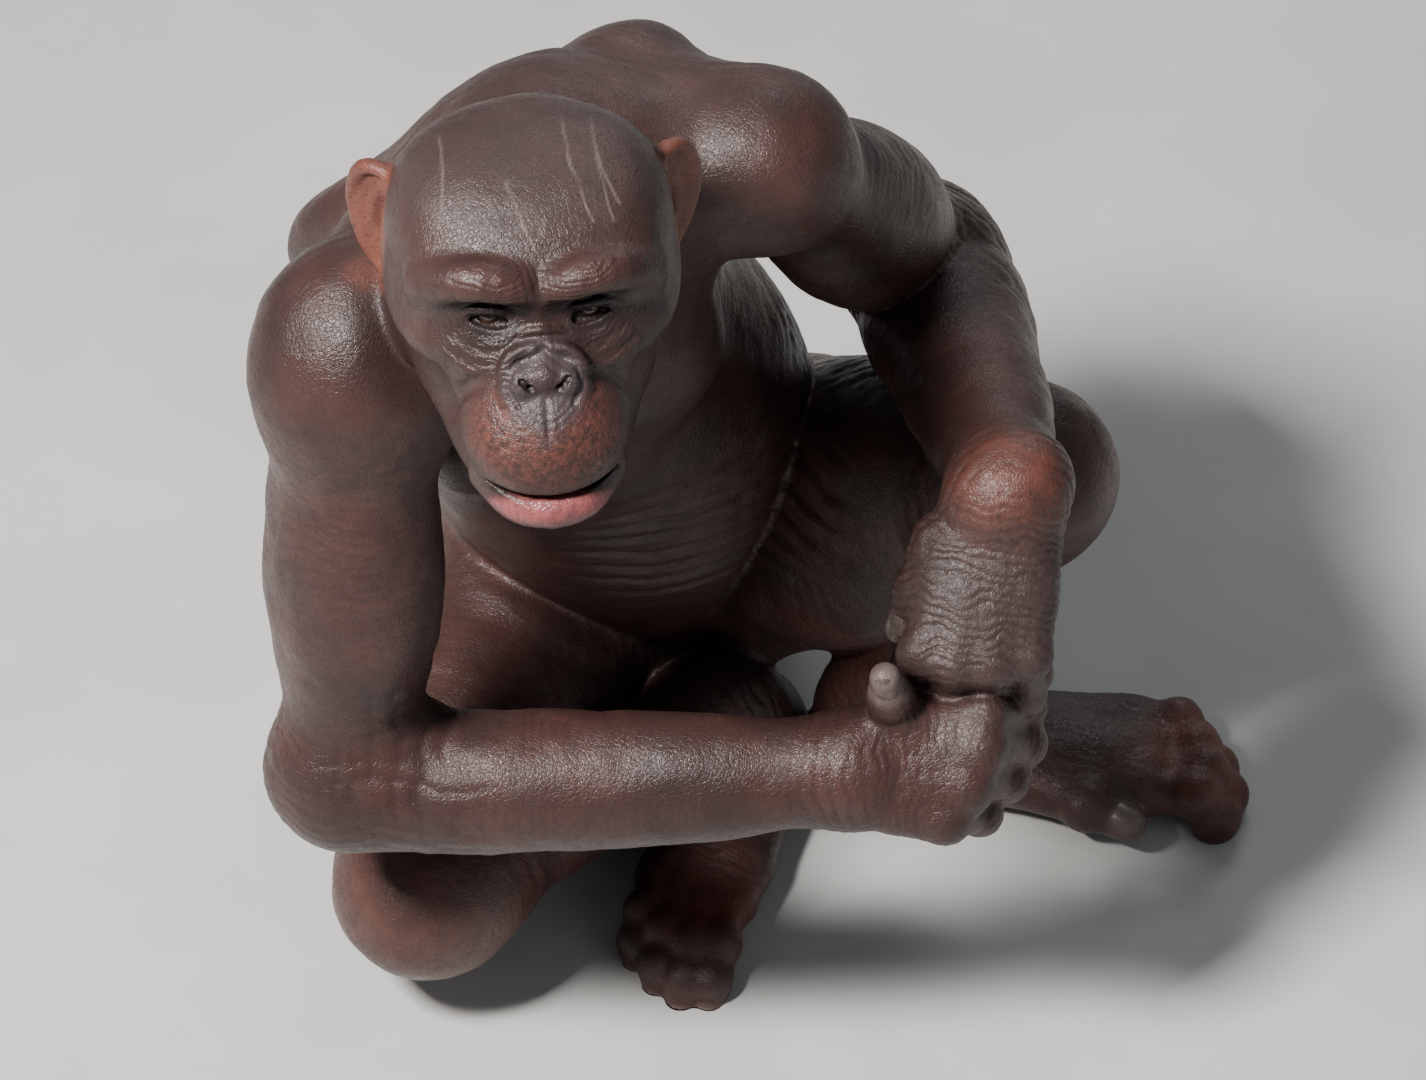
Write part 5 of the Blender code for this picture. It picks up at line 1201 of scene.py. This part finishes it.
# ---------------------------------------------------------------- eyes
wet = eye_material()
for name, c in EYES.items():
    gaze = unit(vec(0.0, -1.0, 0.16)) @ HEAD_AXES
    side = unit(np.cross(gaze, vec(0, 0, 1)))
    up = np.cross(side, gaze)
    bm = bmesh.new()
    bmesh.ops.create_uvsphere(bm, u_segments=64, v_segments=44, radius=1.0)
    co = np.array([v.co[:] for v in bm.verts])
    off = np.degrees(np.arccos(np.clip(co[:, 2], -1, 1)))
    turn_ = np.arctan2(co[:, 1], co[:, 0])
    r = EYE * (1 + 0.055 * bump(off, 5, 34) ** 1.0 - 0.008 * bump(np.abs(off - 35), 2, 8))
    r = np.where(off > 100, EYE, r)
    r *= 0.985
    pos = HEAD + c @ HEAD_AXES + r[:, None] * (co[:, :1] * side + co[:, 1:2] * up + co[:, 2:] * gaze) + SHIFT
    for v, q in zip(bm.verts, pos.tolist()):
        v.co = q
    bmesh.ops.recalc_face_normals(bm, faces=bm.faces[:])
    me = bpy.data.meshes.new(name + "_ball")
    bm.to_mesh(me)
    bm.free()
    me.shade_smooth()
    a = me.attributes.new("off_axis", "FLOAT", "POINT")
    a.data.foreach_set("value", off.astype(np.float32))
    fib = 0.5 + 0.30 * np.sin(turn_ * 34 + 2 * np.sin(turn_ * 7)) + 0.20 * np.sin(turn_ * 61 + off * 0.3)
    a = me.attributes.new("fibre", "FLOAT", "POINT")
    a.data.foreach_set("value", np.clip(fib, 0, 1).astype(np.float32))
    ball = bpy.data.objects.new(name + "_ball", me)
    bpy.context.scene.collection.objects.link(ball)
    ball.data.materials.append(wet)
    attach(ball, "root")
    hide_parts(name)

# ---------------------------------------------------------------- nails
horn = nail_material()
bm = bmesh.new()
for number, (pts, axis) in enumerate(NAILS):
    end, before = np.array(pts[-1][:3]), np.array(pts[-2][:3])
    r = pts[-1][3]
    if end[2] - r < -0.003:
        continue  # this toe's end is turned under
    if number == 5:
        axis = -axis
    d = unit(end - before)
    out = np.cross(d, axis)
    if np.linalg.norm(out) < 0.3:
        out = vec(0, -0.3, 1) - d * (vec(0, -0.3, 1) @ d)
    out = unit(out)
    side = np.cross(d, out)
    rows, cols = 9, 11
    grid = []
    for layer in (0, 1):
        for i in range(rows):
            v = i / (rows - 1)
            for j in range(cols):
                u = j / (cols - 1) * 2 - 1
                wide = 58 * (1 - 0.35 * max(0, 0.35 - v) / 0.35)
                a = math.radians(wide * u)
                along = r * (-0.80 + 1.62 * v - 0.22 * u * u * v)
                R = r * 1.0 + (0.00035 if layer == 0 else -0.0012) - r * 0.34 * v * v
                R *= 1 - 0.04 * abs(u) ** 3
                p = end + d * along + out * (R * math.cos(a)) + side * (R * math.sin(a)) + SHIFT
                grid.append(bm.verts.new(p.tolist()))
    n = rows * cols
    for layer in (0, 1):
        for i in range(rows - 1):
            for j in range(cols - 1):
                q = [layer * n + i * cols + j, layer * n + i * cols + j + 1, layer * n + (i + 1) * cols + j + 1, layer * n + (i + 1) * cols + j]
                bm.faces.new([grid[k] for k in (q if layer == 0 else q[::-1])])
    rim = [i for i in range(cols)] + [i * cols + cols - 1 for i in range(1, rows)] + [(rows - 1) * cols + j for j in range(cols - 2, -1, -1)] + [i * cols for i in range(rows - 2, 0, -1)]
    for a, b_ in zip(rim, rim[1:] + rim[:1]):
        bm.faces.new([grid[a], grid[n + a], grid[n + b_], grid[b_]])
bmesh.ops.recalc_face_normals(bm, faces=bm.faces[:])
me = bpy.data.meshes.new("nails")
bm.to_mesh(me)
bm.free()
me.shade_smooth()
me.set_sharp_from_angle(angle=math.radians(60))
nails = bpy.data.objects.new("nails", me)
bpy.context.scene.collection.objects.link(nails)
nails.data.materials.append(horn)
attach(nails, "root")

# ---------------------------------------------------------------- floor, light and camera
def backdrop():
    bm = bmesh.new()
    bmesh.ops.create_grid(bm, x_segments=1, y_segments=1, size=14)
    me = bpy.data.meshes.new("floor")
    bm.to_mesh(me)
    bm.free()
    ob = bpy.data.objects.new("floor", me)
    bpy.context.scene.collection.objects.link(ob)
    m = Nodes("pale_floor")
    base = m.mix(m.span(m.noise(6.0, 4.0), 0.35, 0.65), (0.50, 0.50, 0.49), (0.56, 0.56, 0.55))
    me.materials.append(m.finish(Base_Color=base, Roughness=0.85))
    return ob


backdrop()


def lamp(name, place, aim_at, power, size, colour=(1, 1, 1)):
    data = bpy.data.lights.new(name, "AREA")
    data.energy, data.size, data.color = power, size, colour
    ob = bpy.data.objects.new(name, data)
    ob.location = place
    ob.rotation_mode = "QUATERNION"
    ob.rotation_quaternion = (Vector(aim_at) - Vector(place)).to_track_quat("-Z", "Y")
    bpy.context.scene.collection.objects.link(ob)


lamp("key", (-1.35, -1.15, 2.6), (0.0, 0.0, 0.35), 215, 0.50, (1.0, 0.96, 0.92))
lamp("fill", (2.2, -1.8, 1.6), (0.0, 0.0, 0.3), 8, 2.0, (0.93, 0.96, 1.0))
lamp("rim", (0.6, 2.4, 2.0), (0.0, 0.0, 0.4), 16, 1.2)
world = bpy.data.worlds.new("studio")
world.use_nodes = True
world.node_tree.nodes["Background"].inputs[0].default_value = (0.80, 0.84, 0.88, 1)
world.node_tree.nodes["Background"].inputs[1].default_value = 0.20
bpy.context.scene.world = world

cam = bpy.data.cameras.new("camera")
cam.sensor_width, cam.lens = 36.0, 36.0 * 8100 / 1426
eye_at = bpy.data.objects.new("camera", cam)
target = vec(0, -0.23, 0.23) + SHIFT
eye_at.location = (target + 4.5 * vec(0, -math.cos(math.radians(45)), math.sin(math.radians(45)))).tolist()
eye_at.rotation_euler = (math.radians(45), 0, 0)
bpy.context.scene.collection.objects.link(eye_at)
bpy.context.scene.camera = eye_at
